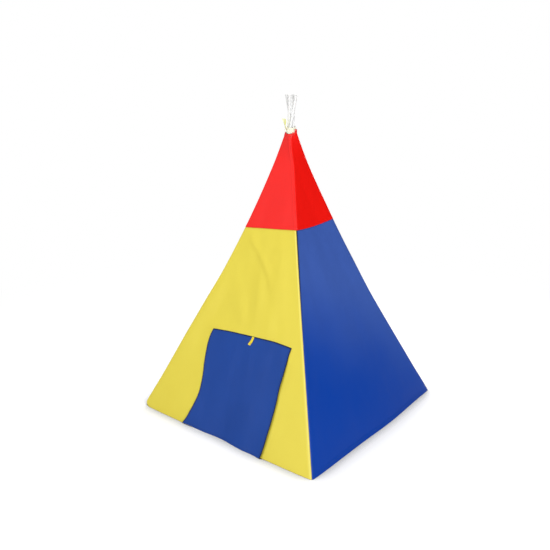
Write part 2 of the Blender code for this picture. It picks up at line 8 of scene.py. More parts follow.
# %% Load the frame
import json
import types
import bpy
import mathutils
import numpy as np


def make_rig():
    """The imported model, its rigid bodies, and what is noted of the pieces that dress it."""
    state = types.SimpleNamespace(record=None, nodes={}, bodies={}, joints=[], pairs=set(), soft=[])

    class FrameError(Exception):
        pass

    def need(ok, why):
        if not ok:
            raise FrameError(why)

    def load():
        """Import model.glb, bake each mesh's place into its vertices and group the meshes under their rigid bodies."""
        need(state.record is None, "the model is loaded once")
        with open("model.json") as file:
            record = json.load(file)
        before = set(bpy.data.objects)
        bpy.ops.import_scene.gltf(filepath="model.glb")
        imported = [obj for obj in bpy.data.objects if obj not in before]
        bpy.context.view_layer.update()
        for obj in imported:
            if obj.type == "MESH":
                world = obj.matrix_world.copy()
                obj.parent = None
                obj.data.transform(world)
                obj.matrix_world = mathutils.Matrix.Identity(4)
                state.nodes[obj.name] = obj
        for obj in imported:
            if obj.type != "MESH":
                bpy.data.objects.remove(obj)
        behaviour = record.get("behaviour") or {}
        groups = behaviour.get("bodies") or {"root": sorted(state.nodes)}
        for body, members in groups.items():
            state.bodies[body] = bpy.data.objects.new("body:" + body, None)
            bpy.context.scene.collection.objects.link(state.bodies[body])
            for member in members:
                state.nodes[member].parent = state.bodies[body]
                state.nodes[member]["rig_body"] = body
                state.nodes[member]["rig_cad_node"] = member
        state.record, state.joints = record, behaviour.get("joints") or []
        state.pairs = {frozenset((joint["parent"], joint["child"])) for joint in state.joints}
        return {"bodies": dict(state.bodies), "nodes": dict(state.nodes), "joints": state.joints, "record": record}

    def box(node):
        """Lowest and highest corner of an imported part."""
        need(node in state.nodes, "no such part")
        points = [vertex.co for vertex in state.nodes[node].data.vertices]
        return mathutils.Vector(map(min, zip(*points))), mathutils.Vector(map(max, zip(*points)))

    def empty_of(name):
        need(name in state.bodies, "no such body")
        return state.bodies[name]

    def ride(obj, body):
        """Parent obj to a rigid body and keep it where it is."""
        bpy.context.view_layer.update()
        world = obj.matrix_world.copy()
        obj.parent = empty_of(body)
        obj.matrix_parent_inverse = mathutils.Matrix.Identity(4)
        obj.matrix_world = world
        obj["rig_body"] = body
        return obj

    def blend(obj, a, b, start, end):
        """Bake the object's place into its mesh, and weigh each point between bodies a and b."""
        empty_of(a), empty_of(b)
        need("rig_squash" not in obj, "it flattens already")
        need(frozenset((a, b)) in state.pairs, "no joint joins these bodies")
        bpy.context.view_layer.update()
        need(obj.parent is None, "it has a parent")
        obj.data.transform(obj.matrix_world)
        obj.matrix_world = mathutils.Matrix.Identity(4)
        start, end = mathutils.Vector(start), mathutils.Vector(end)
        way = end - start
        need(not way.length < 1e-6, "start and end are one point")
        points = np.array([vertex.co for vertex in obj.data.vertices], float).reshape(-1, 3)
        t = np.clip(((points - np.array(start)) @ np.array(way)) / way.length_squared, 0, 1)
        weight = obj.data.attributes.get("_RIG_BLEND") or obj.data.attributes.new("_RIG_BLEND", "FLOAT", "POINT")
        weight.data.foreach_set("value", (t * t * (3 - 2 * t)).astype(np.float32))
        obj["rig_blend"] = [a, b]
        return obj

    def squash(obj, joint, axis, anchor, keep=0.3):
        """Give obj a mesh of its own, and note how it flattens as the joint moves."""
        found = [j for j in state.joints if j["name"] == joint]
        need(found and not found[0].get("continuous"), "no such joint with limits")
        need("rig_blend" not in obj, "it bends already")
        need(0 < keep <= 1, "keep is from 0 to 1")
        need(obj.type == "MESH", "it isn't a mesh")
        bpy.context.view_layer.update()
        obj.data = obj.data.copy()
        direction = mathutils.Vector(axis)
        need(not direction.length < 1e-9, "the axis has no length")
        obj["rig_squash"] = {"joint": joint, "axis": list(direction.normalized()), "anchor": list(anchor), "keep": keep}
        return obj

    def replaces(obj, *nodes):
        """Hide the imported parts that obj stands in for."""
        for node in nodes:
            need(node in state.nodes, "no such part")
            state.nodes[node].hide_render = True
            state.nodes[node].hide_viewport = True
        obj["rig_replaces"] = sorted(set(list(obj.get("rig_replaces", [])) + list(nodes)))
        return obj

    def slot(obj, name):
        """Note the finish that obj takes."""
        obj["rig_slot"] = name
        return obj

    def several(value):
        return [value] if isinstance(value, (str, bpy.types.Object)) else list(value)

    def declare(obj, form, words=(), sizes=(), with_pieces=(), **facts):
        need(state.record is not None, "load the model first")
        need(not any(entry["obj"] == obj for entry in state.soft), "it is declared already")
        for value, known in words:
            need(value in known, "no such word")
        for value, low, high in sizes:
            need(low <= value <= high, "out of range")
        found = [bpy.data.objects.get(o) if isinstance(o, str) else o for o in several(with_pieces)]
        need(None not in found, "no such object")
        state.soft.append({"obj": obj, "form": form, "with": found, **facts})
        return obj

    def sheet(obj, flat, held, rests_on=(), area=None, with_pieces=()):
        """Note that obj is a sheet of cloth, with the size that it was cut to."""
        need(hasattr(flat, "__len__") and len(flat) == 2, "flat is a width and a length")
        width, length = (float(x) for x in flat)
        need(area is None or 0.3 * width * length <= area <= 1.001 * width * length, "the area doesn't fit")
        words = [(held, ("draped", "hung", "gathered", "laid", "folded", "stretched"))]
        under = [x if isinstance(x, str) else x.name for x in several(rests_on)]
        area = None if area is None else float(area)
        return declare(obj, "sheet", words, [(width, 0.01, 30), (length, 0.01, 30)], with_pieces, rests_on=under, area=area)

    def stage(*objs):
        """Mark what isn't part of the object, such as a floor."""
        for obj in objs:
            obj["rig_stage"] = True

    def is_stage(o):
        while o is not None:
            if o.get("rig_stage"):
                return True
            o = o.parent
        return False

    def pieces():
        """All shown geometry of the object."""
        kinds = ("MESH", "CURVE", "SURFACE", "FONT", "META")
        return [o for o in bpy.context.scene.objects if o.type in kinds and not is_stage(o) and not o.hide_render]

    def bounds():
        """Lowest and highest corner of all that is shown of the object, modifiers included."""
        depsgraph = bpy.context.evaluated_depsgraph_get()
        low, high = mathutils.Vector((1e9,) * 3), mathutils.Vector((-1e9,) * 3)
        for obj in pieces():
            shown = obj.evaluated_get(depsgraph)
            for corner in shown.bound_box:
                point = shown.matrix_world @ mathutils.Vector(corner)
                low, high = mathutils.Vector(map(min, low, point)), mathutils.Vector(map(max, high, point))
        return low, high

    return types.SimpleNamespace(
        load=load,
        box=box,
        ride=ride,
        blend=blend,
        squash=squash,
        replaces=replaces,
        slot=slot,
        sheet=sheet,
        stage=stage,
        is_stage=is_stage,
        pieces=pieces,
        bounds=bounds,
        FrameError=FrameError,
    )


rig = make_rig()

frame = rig.load()

import json
import math

import bmesh
import bpy
import numpy as np
from mathutils import Matrix, Vector, noise

cad_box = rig.bounds()
print("CAD nodes:", len(frame["nodes"]), "bodies:", sorted(frame["bodies"]))

# %% [markdown]
# ## Where the picture is taken from
# The picture looks at the front right corner from a little above eye height of a seated adult. The place
# and the lens were worked out from the corners of the tent, so they are written here as plain numbers.
# One could also aim an empty with a constraint, but a fixed place is easier to repeat.

# %% Camera
camera_place = (1.822, -2.378, 1.569)
camera_turn = (math.radians(72.63), 0, math.radians(38.81))
camera_lens_mm = 43.88
sensor_mm = 36
scene = bpy.context.scene


def in_scene(name, data):
    """A thing with this data, linked into the scene."""
    thing = bpy.data.objects.new(name, data)
    scene.collection.objects.link(thing)
    return thing


camera_data = bpy.data.cameras.new("camera")
camera_data.lens, camera_data.sensor_width = camera_lens_mm, sensor_mm
camera = in_scene("camera", camera_data)
camera.location, camera.rotation_euler = camera_place, camera_turn
scene.camera = camera
scene.view_settings.view_transform = "Standard"
print("camera", camera_place, "lens", camera_lens_mm)

# %% [markdown]
# ## Materials as nodes
# A material is a tree of nodes, each of which feeds the next. Adding and linking them takes many lines,
# so we write small helpers that add a node and feed its inputs in one go. Colours are written as a screen
# shows them and turned into the numbers that a shader wants.

# %% Helpers for materials
def new_material(name):
    """A material, its node tree and its shader."""
    material = bpy.data.materials.new(name)
    material.use_nodes = True
    return material, material.node_tree, material.node_tree.nodes["Principled BSDF"]


def feed(node, **inputs):
    """Feed inputs, by name or as _0, _1 by number, with a value, an output or a node's first output."""
    for key, value in inputs.items():
        socket = node.inputs[int(key[1:]) if key[0] == "_" else key.replace("_", " ")]
        if isinstance(value, bpy.types.Node):
            value = value.outputs[0]
        if isinstance(value, bpy.types.NodeSocket):
            node.id_data.links.new(value, socket)
        else:
            socket.default_value = value
    return node


def add(tree, kind, settings=None, **inputs):
    """A node of a kind, with its settings and what feeds its inputs."""
    node = tree.nodes.new("ShaderNode" + kind)
    for key, value in (settings or {}).items():
        setattr(node, key, value)
    return feed(node, **inputs)


def rise(tree, value, low, high, **ends):
    """A smooth rise as a value goes from low to high."""
    step = {"interpolation_type": "SMOOTHSTEP"}
    return add(tree, "MapRange", step, Value=value, From_Min=low, From_Max=high, **ends)


def linear(red, green, blue):
    """A colour as a screen shows it, 0 to 255, as the numbers that a shader wants."""
    def channel(value):
        share = value / 255
        return share / 12.92 if share <= 0.04045 else ((share + 0.055) / 1.055) ** 2.4
    return (channel(red), channel(green), channel(blue), 1)


print("middle grey for a shader:", round(linear(128, 128, 128)[0], 3))

# %% [markdown]
# ## A white floor
# The ground is a wide pale floor. Its material is mostly real paper, which takes the tent's shadow, with
# a little light of its own that only the camera sees, so that it comes out white without throwing light
# on the tent. An ambient occlusion node deepens the shadow close to the hem. A plain white plane would be
# simpler, but it would either look grey or light the tent from below.

# %% Floor
floor_grey = 0.62
floor_glow = 0.52
floor_near = 1.1  # from here outwards the floor turns into the white of the backdrop
floor_far = 2.6
floor_radius = 1.2 * floor_far
floor_drop = 0.0005
contact_reach = 0.10
contact_dark = 0.38

floor_mesh = bpy.data.meshes.new("studio_floor")
floor_work = bmesh.new()
bmesh.ops.create_circle(floor_work, cap_ends=True, segments=64, radius=floor_radius)
floor_work.to_mesh(floor_mesh)
floor_work.free()
floor = in_scene("studio_floor", floor_mesh)
floor.location.z = -floor_drop
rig.stage(floor)

floor_material, tree, shader = new_material("floor_paper")
shade = add(tree, "AmbientOcclusion", {"samples": 12}, Distance=contact_reach)
contact = rise(tree, shade.outputs["AO"], contact_dark, 1.0)
paper, glow = (
    add(tree, "Math", {"operation": "MULTIPLY"}, _0=contact, _1=amount) for amount in (floor_grey, floor_glow)
)
feed(shader, Base_Color=paper, Roughness=0.9, Specular_IOR_Level=0.0)
lit = add(tree, "AddShader", _0=shader, _1=add(tree, "Emission", Strength=glow))
place = add(tree, "TexCoord").outputs["Object"]
from_middle = add(tree, "VectorMath", {"operation": "LENGTH"}, _0=place).outputs["Value"]
distance = rise(tree, from_middle, floor_near, floor_far)
fading = add(tree, "MixShader", _0=distance, _1=lit, _2=add(tree, "Emission", Strength=1.0))
seen = add(tree, "LightPath").outputs["Is Camera Ray"]
chosen = add(tree, "MixShader", _0=seen, _1=shader, _2=fading)
feed(tree.nodes["Material Output"], Surface=chosen)
floor_mesh.materials.append(floor_material)
print("floor, radius", round(floor_radius, 2), "m")

# %% [markdown]
# ## Light from all round
# The world is done in the same way: white to the camera, and to the cloth a softer light, even all round
# but for one dim corner behind the tent. Shine is what a surface mirrors: the front walls mirror the
# bright side and get a pale veil, the right wall mirrors the dim corner and keeps its deep colour.

# %% World
world_light = 0.65
dim_side = (0.575, 0.805, 0.14)
dim_light = 0.03
dim_from, dim_full = -0.05, 0.55  # how nearly a direction points at the dim side
world = bpy.data.worlds.new("studio")
scene.world = world
world.use_nodes = True
tree = world.node_tree
tree.nodes.clear()
way = add(tree, "TexCoord").outputs["Generated"]
facing = add(tree, "VectorMath", {"operation": "DOT_PRODUCT"}, _0=way, _1=dim_side).outputs["Value"]
level = rise(tree, facing, dim_from, dim_full, To_Min=world_light, To_Max=dim_light)
soft, white = (add(tree, "Background", Color=(1, 1, 1, 1), Strength=amount) for amount in (level, 1.0))
rays = add(tree, "LightPath").outputs
direct = add(tree, "Math", {"operation": "MAXIMUM"}, _0=rays["Is Camera Ray"], _1=rays["Is Transmission Ray"])
add(tree, "OutputWorld", Surface=add(tree, "MixShader", _0=direct, _1=soft, _2=white))
print("world light from", dim_light, "to", world_light)

# %% [markdown]
# ## Lamps
# Large soft boxes, because big lamps give soft shadows, as in the picture: the strongest on the right,
# one behind the tent so that the back isn't lost in shade, one overhead, and a weak one in front that
# fills the yellow side.

# %% Soft boxes
def soft_box(name, place, aim_height, size, power):
    """A square lamp that points at the tent's middle at a height."""
    data = bpy.data.lights.new(name, "AREA")
    data.shape, data.size, data.energy = "SQUARE", size, power
    lamp = in_scene(name, data)
    lamp.location = place
    lamp.rotation_euler = (Vector((0, 0, aim_height)) - lamp.location).to_track_quat("-Z", "Y").to_euler()


soft_box("box_front_left", (-1.3, -4.5, 1.6), 0.6, 2.2, 31)
soft_box("box_overhead", (0.2, -0.4, 4.4), 0, 2.6, 48)
soft_box("box_right", (4.1, -1.6, 2.0), 0.6, 2.2, 116)
soft_box("box_behind", (-2.0, 4.4, 2.0), 0.6, 2.4, 140)
print("lamps:", [thing.name for thing in scene.objects if thing.type == "LIGHT"])

# %% [markdown]
# ## The shape of the cover
# Each wall follows one curve: how far its outer face is from the middle at each height. These are the
# same sizes as the CAD model's, written again here because this file reads nothing but the frame. In plan
# the cloth doesn't make a knife edge: it bends round the pole at each corner, so the outline is a square
# with rounded corners. A place on the cover is then given by a wall, a length `s` along it, and a height.

# %% The walls' curve
base_half = 0.500
apex_height = 1.350
bow_depth = 0.031
bow_share = 1.25
cover_top = 1.290
rim_ease = 0.0035
rim_ease_run = 0.140
crossing_height = 1.335
corner_radius = 0.0095
bend_length = corner_radius * math.pi / 2
wall_turns = {"front": 0, "right": 90, "back": 180, "left": 270}
mouth_turn = math.radians(17)  # the leaning poles turn the cover's mouth with them
turn_from, turn_full = 1.15, 1.29


def ramp(value, low, high):
    """0 below low, 1 above high, and a smooth rise between."""
    share = min(max((value - low) / (high - low), 0.0), 1.0)
    return share * share * (3 - 2 * share)


def turned_by(turn, x, y, z):
    """A place after a turn round the tent's middle."""
    return Vector((x * math.cos(turn) - y * math.sin(turn), x * math.sin(turn) + y * math.cos(turn), z))


def wall_half(z):
    """From the middle to the outer face of a wall at height z."""
    z = min(z, cover_top)
    share = z / apex_height
    ease = min(max((z - cover_top + rim_ease_run) / rim_ease_run, 0.0), 1.0)
    bow = bow_depth * math.sin(math.pi * share ** bow_share) if share > 0 else 0.0
    return base_half * (1 - share) - bow + rim_ease * ease**2


def around(side, s, z, out=0.0):
    """A place at s along a wall, round its corners where s is longer than the wall, and out from its face."""
    half = wall_half(z)
    straight = half - corner_radius
    sign = 1 if s >= 0 else -1
    past = abs(s) - straight
    if past <= 0:
        x, y = s, -half - out
    elif past <= bend_length:
        a = past / corner_radius
        x = sign * (straight + (corner_radius + out) * math.sin(a))
        y = -straight - (corner_radius + out) * math.cos(a)
    else:
        x = sign * (half + out)
        y = -straight + (past - bend_length)
    return turned_by(math.radians(wall_turns[side]) - mouth_turn * ramp(z, turn_from, turn_full), x, y, z)


print("wall at the floor", round(wall_half(0), 4), "at the top", round(wall_half(cover_top), 4))

# %% [markdown]
# ## Edges that aren't quite level
# A sewn cover never hangs perfectly true. The red seam is lower at the front left than at the front
# right, the rim round the poles rises towards the back, and the hem is cut away in a curve at the front
# left corner, where the foot of the pole shows. A few heights per corner say all that, with a soft curve
# between them.

# %% Heights of the seam, the rim and the hem
seam_at = {"fl": 0.869, "fr": 0.893, "br": 0.899, "bl": 0.882}
rim_at = {"fl": 1.290, "fr": 1.284, "br": 1.302, "bl": 1.296}
hem_cut = {"fl": (0.045, 0.034), "fr": (0.008, 0.005), "br": (0.012, 0.007), "bl": (0.026, 0.022)}
ends = {"front": ("fl", "fr"), "right": ("fr", "br"), "back": ("br", "bl"), "left": ("bl", "fl")}
seam_sag = {"front": 0.0, "right": -0.006, "back": -0.003, "left": -0.005}
rim_sag = {"front": -0.004, "right": 0.005, "back": -0.003, "left": -0.002}


def between_corners(side, share, at, sag):
    """A height along a wall, share 0 at its left end and 1 at its right."""
    share = min(max(share, 0.0), 1.0)
    left, right = ends[side]
    return at[left] + (at[right] - at[left]) * share + sag[side] * 4 * share * (1 - share)


def seam_height(side, share):
    return between_corners(side, share, seam_at, seam_sag)


def rim_height(side, share):
    return between_corners(side, share, rim_at, rim_sag)


def hem_height(side, s):
    """How far the lower edge is above the floor: nothing, but for a rounded cut at each corner."""
    left, right = ends[side]
    reach, lift = hem_cut[left if s < 0 else right]
    far = max(base_half - abs(s), 0.0)
    if far >= reach:
        return 0.0
    return lift * (1 - math.sqrt(1 - (1 - far / reach) ** 2))


print("red seam at the corners:", seam_at)

# %% [markdown]
# ## Folds in the taut cloth
# The walls are stretched between the poles, so their folds are shallow: soft pulls that run down from the
# seam, a few long dents, and next to nothing at the corners and the seams, which hold the cloth flat. We
# make them from smooth noise that is stretched along the height, which costs far less than a simulation
# and keeps the outline where the poles put it. The front has one longer crease, which starts at the seam
# on the left and runs down towards the right, where the door's weight pulls on the wall.

# %% Fold depth
fold_seed = {"front": 3.1, "right": 17.7, "back": 31.9, "left": 47.3}
fold_strength = {"front": 1.0, "right": 0.8, "back": 1.0, "left": 0.9}
dent_depth, pull_depth, crumple_depth, combed_depth = 0.0062, 0.0030, 0.0006, 0.0010
combed_pitch = 0.150
crease_line = (
    (0.600, 0.095), (0.640, 0.075), (0.690, 0.045), (0.750, -0.012), (0.824, -0.094), (0.870, -0.130),
)
crease_steep, crease_gentle = 0.018, 0.034  # its left side is steep, its right side fades
crease_depth = 0.0027
door_seam_middle, door_seam_rise = 0.427, 0.043  # the seam that holds the door is sewn flat
door_seam_reach, door_seam_flat = 0.030, 0.92


def fall(value, low, high):
    """1 below low, 0 above high, and a smooth fall between."""
    return 1 - ramp(value, low, high)


def bell(value, middle, width):
    """1 at the middle, and next to nothing two widths away."""
    return math.exp(-(((value - middle) / width) ** 2))


def rough(x, y, z):
    """Smooth noise, from -1 to 1."""
    return noise.noise(Vector((x, y, z)))


def eased(share, run, start, end, start_slope, end_slope):
    """A smooth curve between two values with given slopes, at a share of the run between them."""
    rising = 2 * share**3 - 3 * share**2 + 1
    leaving = (share**3 - 2 * share**2 + share) * run * start_slope
    arriving = (share**3 - share**2) * run * end_slope
    return rising * start + leaving + (1 - rising) * end + arriving


def smooth_along(pairs, at):
    """A smooth line through (place, value) pairs in rising order, as the value at a place."""
    places, values = zip(*pairs)
    slopes = np.gradient(values, places)
    k = int(min(max(np.searchsorted(places, at) - 1, 0), len(pairs) - 2))
    run = places[k + 1] - places[k]
    share = min(max((at - places[k]) / run, 0.0), 1.0)
    return float(eased(share, run, values[k], values[k + 1], slopes[k], slopes[k + 1]))


def front_folds(s, z):
    """The crease from the upper left, and the combed pulls between it and the door."""
    depth = 0.0
    if 0.56 < z < 0.90:
        off = s - smooth_along(crease_line, z)
        fade = ramp(z, 0.58, 0.66) * fall(z, 0.80, 0.87)
        depth += crease_depth * fade * bell(off, 0, crease_steep if off < 0 else crease_gentle)
    slant = s + 0.45 * (z - 0.60)
    combed = math.sin(math.tau * slant / combed_pitch + 2.5 * rough(s * 5, z * 2, 71))
    room = ramp(z, 0.43, 0.52) * fall(z, 0.62, 0.80) * fall(abs(s), 0.10, 0.20)
    return depth + combed_depth * combed * room


def folds(side, s, z):
    """How far the cloth stands out from the wall's curve through its folds."""
    half = wall_half(z)
    seed = fold_seed[side]
    room = ramp(half - abs(s), 0.012, 0.10)
    if room == 0:
        return 0.0
    seam = seam_height(side, s / half / 2 + 0.5)
    dents = rough(s * 3.2, z * 2.1, seed) * dent_depth * ramp(abs(z - seam), 0.0, 0.09)
    pulls = rough(s * 15 + z * 1.5, z * 2.4, seed + 5) * pull_depth * (0.35 + 0.65 * ramp(z, 0.15, 0.6))
    depth = dents + pulls + rough(s * 24, z * 17, seed + 9) * crumple_depth
    if side == "front" and z < seam:
        depth += front_folds(s, z)
        near_seam = bell(z - door_seam_rise * s, door_seam_middle, door_seam_reach)
        depth *= 1 - door_seam_flat * near_seam * fall(abs(s - 0.03), 0.23, 0.30)
    return depth * room * fold_strength[side] * (0.25 + 0.75 * ramp(z, 0.0, 0.12))


print("a fold in the front wall:", round(1000 * folds("front", 0.0, 0.5), 2), "mm")

# %% [markdown]
# ## Where the cover stands proud of the curve
# The hem hangs free between the corners, so it bellies out a little, most of all on the right wall. At
# two of the corners the cloth is also slack over the pole for a short way. All this adds to the folds.

# %% Belly and slack
belly = {"front": 0.0070, "right": 0.0058, "back": 0.0065, "left": 0.0060}
belly_top = 0.30
right_bulge = (0.0092, 0.10, 0.19)  # how far, where along the wall, and how wide
corner_slack = {  # how far out, and the heights where it starts, is full, eases and ends
    "fl": (0.0052, 0.14, 0.40, 0.50, 0.68),
    "fr": (0.0, 0.1, 0.2, 0.3, 0.4),
    "br": (0.0052, 0.50, 0.73, 0.93, 1.18),
    "bl": (0.0030, 0.30, 0.50, 0.60, 0.80),
}
corner_foot = {"fl": 0.0018, "fr": 0.0, "br": 0.0030, "bl": 0.0020}
corner_run = 0.11


def slack_at(corner, z):
    amount, start, full, easing, end = corner_slack[corner]
    return amount * ramp(z, start, full) * fall(z, easing, end) + corner_foot[corner] * fall(z, 0.03, 0.15)


def stand(side, s, z):
    """How far the cloth stands out from the wall's curve in all."""
    half = wall_half(z)
    share = min(abs(s) / half, 1.0)
    left, right = ends[side]
    out = slack_at(left, z) * fall(s + half, 0.0, corner_run)
    out += slack_at(right, z) * fall(half - s, 0.0, corner_run)
    free = (1 - share**8) * fall(z, 0.0, belly_top)
    out += belly[side] * free
    if side == "right":
        depth, middle, width = right_bulge
        out += depth * free * bell(s, middle, width)
    return out + folds(side, s, z)


print("the right hem bellies out by", round(1000 * stand("right", right_bulge[1], 0.0), 1), "mm")

# %% [markdown]
# ## Polyester cloth
# The cover is a thin, smooth woven polyester. Close up it is a plain weave: threads that pass over and
# under each other in a checkerboard. From a step away one sees an even colour with a faint silky shine.
# The nodes below draw the weave from the cloth's own flat coordinates in metres, which every panel
# carries in a UV map called `cloth`, so threads run along each panel however it hangs. Two noises vary
# the dye a little. A number stored on the mesh, `edge`, paints shade into seams, hems, the front's crease
# and the sleeves' puckers, and where it is below 0 a painted highlight beside a seam and on pucker crests;
# tapes are darker towards their edges. On the blue walls painted light makes the upper part lighter, with
# a third noise on the line between.

# %% Cloth material
thread_pitch = 0.00045
# painted light: the blue walls are lighter towards the top; this slope sets the height it is measured by
painted_light_slope = (0.0, 0.5, 1.0)  # the low tone reaches higher where the wall is nearest the front


def multiply(tree, vector, factors):
    return add(tree, "VectorMath", {"operation": "MULTIPLY"}, _0=vector, _1=factors)


def mixed(tree, share, first, second):
    """The colour at a share between two."""
    colours = {"data_type": "RGBA", "clamp_factor": True}
    return add(tree, "Mix", colours, _0=share, _6=first, _7=second).outputs[2]


def cloth_material(
    name, colour, deep, roughness=0.40, specular=0.32, painted_highlight=None, tone_below_painted_light=None, painted_light_heights=(0.2, 0.8)
):
    """A woven cloth: colour in the open, deep for dye changes and painted shade, pale for a painted highlight."""
    material, tree, shader = new_material(name)

    def calc(kind, first, second=0.0):
        return add(tree, "Math", {"operation": kind}, _0=first, _1=second)

    def swing(value, amount):
        """A value from 0 to 1, as plus and minus half an amount."""
        return calc("MULTIPLY", calc("SUBTRACT", value, 0.5), amount)

    flat = add(tree, "UVMap", {"uv_map": "cloth"})
    place = add(tree, "TexCoord").outputs["Object"]
    split = add(tree, "SeparateXYZ", _0=flat)
    warp, weft = (
        calc("ABSOLUTE", calc("SINE", calc("MULTIPLY", axis, math.pi / thread_pitch)))
        for axis in split.outputs[:2]
    )
    squares = add(tree, "TexChecker", Vector=flat, Scale=1 / thread_pitch).outputs["Fac"]
    crossing = add(tree, "Mix", {"data_type": "FLOAT"}, _0=squares, _2=warp, _3=weft)
    mottle = add(tree, "TexNoise", Vector=place, Scale=6.5, Detail=3.0, Roughness=0.55)
    streaks = add(tree, "TexNoise", Vector=multiply(tree, flat, (420, 9, 1)), Scale=1.0, Detail=2.0)
    # edge: painted shade above 0 in seams, hems, the crease and puckers, a painted highlight below 0; tapes darker at
    # their edges
    edge = add(tree, "Attribute", {"attribute_name": "edge"}).outputs["Fac"]
    knots = calc("MULTIPLY", calc("SUBTRACT", 1.0, crossing), 0.16)
    darken = calc("ADD", calc("ADD", swing(mottle, 0.22), swing(streaks, 0.10)), calc("ADD", knots, edge))
    shown = mixed(tree, darken, colour, deep)
    # painted light: above the given heights the colour stays light, below them it turns to the deeper tone
    if tone_below_painted_light is not None:
        height = add(tree, "VectorMath", {"operation": "DOT_PRODUCT"}, _0=place, _1=painted_light_slope)
        wander = add(tree, "TexNoise", Vector=place, Scale=3.1, Detail=2.0)
        share = rise(tree, calc("ADD", height.outputs["Value"], swing(wander, 0.22)), *painted_light_heights)
        shown = mixed(tree, share, tone_below_painted_light, shown)
    # painted highlight: where edge is below 0 the colour turns pale
    if painted_highlight is not None:
        shown = mixed(tree, calc("MULTIPLY", edge, -1.0), shown, painted_highlight)
    weave = add(tree, "Bump", Strength=0.10, Distance=thread_pitch / 5, Height=crossing)
    rumple = add(tree, "TexNoise", Vector=place, Scale=38.0, Detail=4.0)
    soft = add(tree, "Bump", Strength=0.10, Distance=0.0012, Height=rumple, Normal=weave)
    feed(shader, Base_Color=shown, Normal=soft, Roughness=roughness, Specular_IOR_Level=specular)
    return material


# the pale colour is a painted highlight on the yellow beside the front right seam and on pucker crests
yellow_cloth = cloth_material(
    "yellow_polyester", linear(230, 213, 73), linear(202, 175, 24), painted_highlight=linear(248, 236, 150)
)
# the blue walls carry painted light: light blue towards the top, deeper blue towards the floor
blue_cloth = cloth_material(
    "blue_polyester", linear(64, 96, 178), linear(8, 24, 66), specular=0.25,
    tone_below_painted_light=linear(2, 62, 163), painted_light_heights=(0.10, 0.72),
)
door_cloth = cloth_material("door_blue_polyester", linear(21, 68, 153), linear(3, 16, 52), specular=0.19)
red_cloth = cloth_material("red_polyester", linear(247, 16, 5), linear(190, 8, 8), specular=0.42)
print("cloth materials made, thread pitch", thread_pitch)

# %% [markdown]
# ## From places to cloth
# A panel of cloth is a grid of places. We make one flat mesh from the grid, write the flat coordinates
# and the darkening on it, and let a Solidify modifier give it its thickness, inwards. The modifier is
# then applied, because the folding of the tent wants the finished mesh.

# %% Sheet helpers
cover_thickness = 0.0009


def baked(thing):
    """Replace a thing by the mesh that its modifiers make of it."""
    bpy.context.view_layer.update()
    graph = bpy.context.evaluated_depsgraph_get()
    mesh = bpy.data.meshes.new_from_object(thing.evaluated_get(graph))
    name = thing.name
    bpy.data.objects.remove(thing)
    return in_scene(name, mesh)


def smooth(mesh, angle=38):
    mesh.shade_smooth()
    mesh.set_sharp_from_angle(angle=math.radians(angle))


def cloth(name, columns, rows, place_at, material, thickness=cover_thickness, cyclic=False):
    """A cloth from a grid: place_at(column, row) gives its place, its flat coordinates and its darkening."""
    places, flats, edges = zip(*(place_at(column, row) for row in rows for column in columns))
    wide = len(columns)
    faces = []
    for j in range(len(rows) - 1):
        for i in range(wide if cyclic else wide - 1):
            k = (i + 1) % wide
            faces.append((j * wide + i, j * wide + k, (j + 1) * wide + k, (j + 1) * wide + i))
    mesh = bpy.data.meshes.new(name)
    mesh.from_pydata(places, [], faces)
    corners = np.zeros(len(mesh.loops), np.int32)
    mesh.loops.foreach_get("vertex_index", corners)
    mesh.uv_layers.new(name="cloth").data.foreach_set("uv", np.array(flats, np.float32)[corners].ravel())
    mesh.attributes.new("edge", "FLOAT", "POINT").data.foreach_set("value", np.array(edges, np.float32))
    mesh.materials.append(material)
    smooth(mesh)
    thing = in_scene(name, mesh)
    wall = thing.modifiers.new("thickness", "SOLIDIFY")
    wall.thickness = thickness
    wall.offset = -1
    thing = baked(thing)
    smooth(thing.data)
    return thing


def shares(count, low=0.0, high=1.0):
    """Numbers from low to high in equal steps."""
    return [low + (high - low) * k / count for k in range(count + 1)]


def spaced(fine, coarse, edge):
    """Numbers from 0 to 1: fine steps within edge of both ends, coarse steps between."""
    count_edge = max(2, round(edge / fine))
    first = [edge * k / count_edge for k in range(count_edge)]
    middle = shares(max(2, round((1 - 2 * edge) / coarse)), edge, 1 - edge)
    last = [1 - edge + edge * (k + 1) / count_edge for k in range(count_edge)]
    return first + middle + last


print("cover cloth", 1000 * cover_thickness, "mm thick")

# %% [markdown]
# ## Columns of a panel
# Each panel is sewn to its neighbours along the corners. At the front right and the back left the seam
# lies on the corner itself; at the other two, one panel goes all the way round the pole and the next one
# starts beside it. So a column near a panel's end is a length past the start of the corner's bend, and a
# column between them is a share of the flat wall. Both ends of every panel dip inwards by a millimetre:
# that is where the seam allowances turn in. The dip, with shade painted into it, draws the thin dark line
# along the corner.

# %% Column and seam helpers
seam_strip = 0.0030
seam_dip = 0.0013
seam_dip_run = 0.0026
end_reach = {"round": bend_length + seam_strip, "half": bend_length / 2, "short": -seam_strip}
end_flat = 0.006  # the length of the end columns where a panel stops short of the bend
panel_ends = {
    "front": ("round", "half"), "right": ("half", "round"),
    "back": ("short", "half"), "left": ("half", "short"),
}
wall_columns, top_columns = 104, 42
crease_shade = 0.09


def end_start(kind):
    """Where the end columns begin, as a length past the start of the bend."""
    return min(0.0, end_reach[kind] - end_flat)


def end_steps(kind):
    """Lengths past the start of the bend for the columns at one end of a panel, rising outwards."""
    far, near = end_reach[kind], end_start(kind)
    count = max(3, round((far - seam_dip_run - near) / 0.0017))
    return shares(count, near, far - seam_dip_run) + [far - seam_dip_run * (1 - k / 4) for k in range(1, 5)]


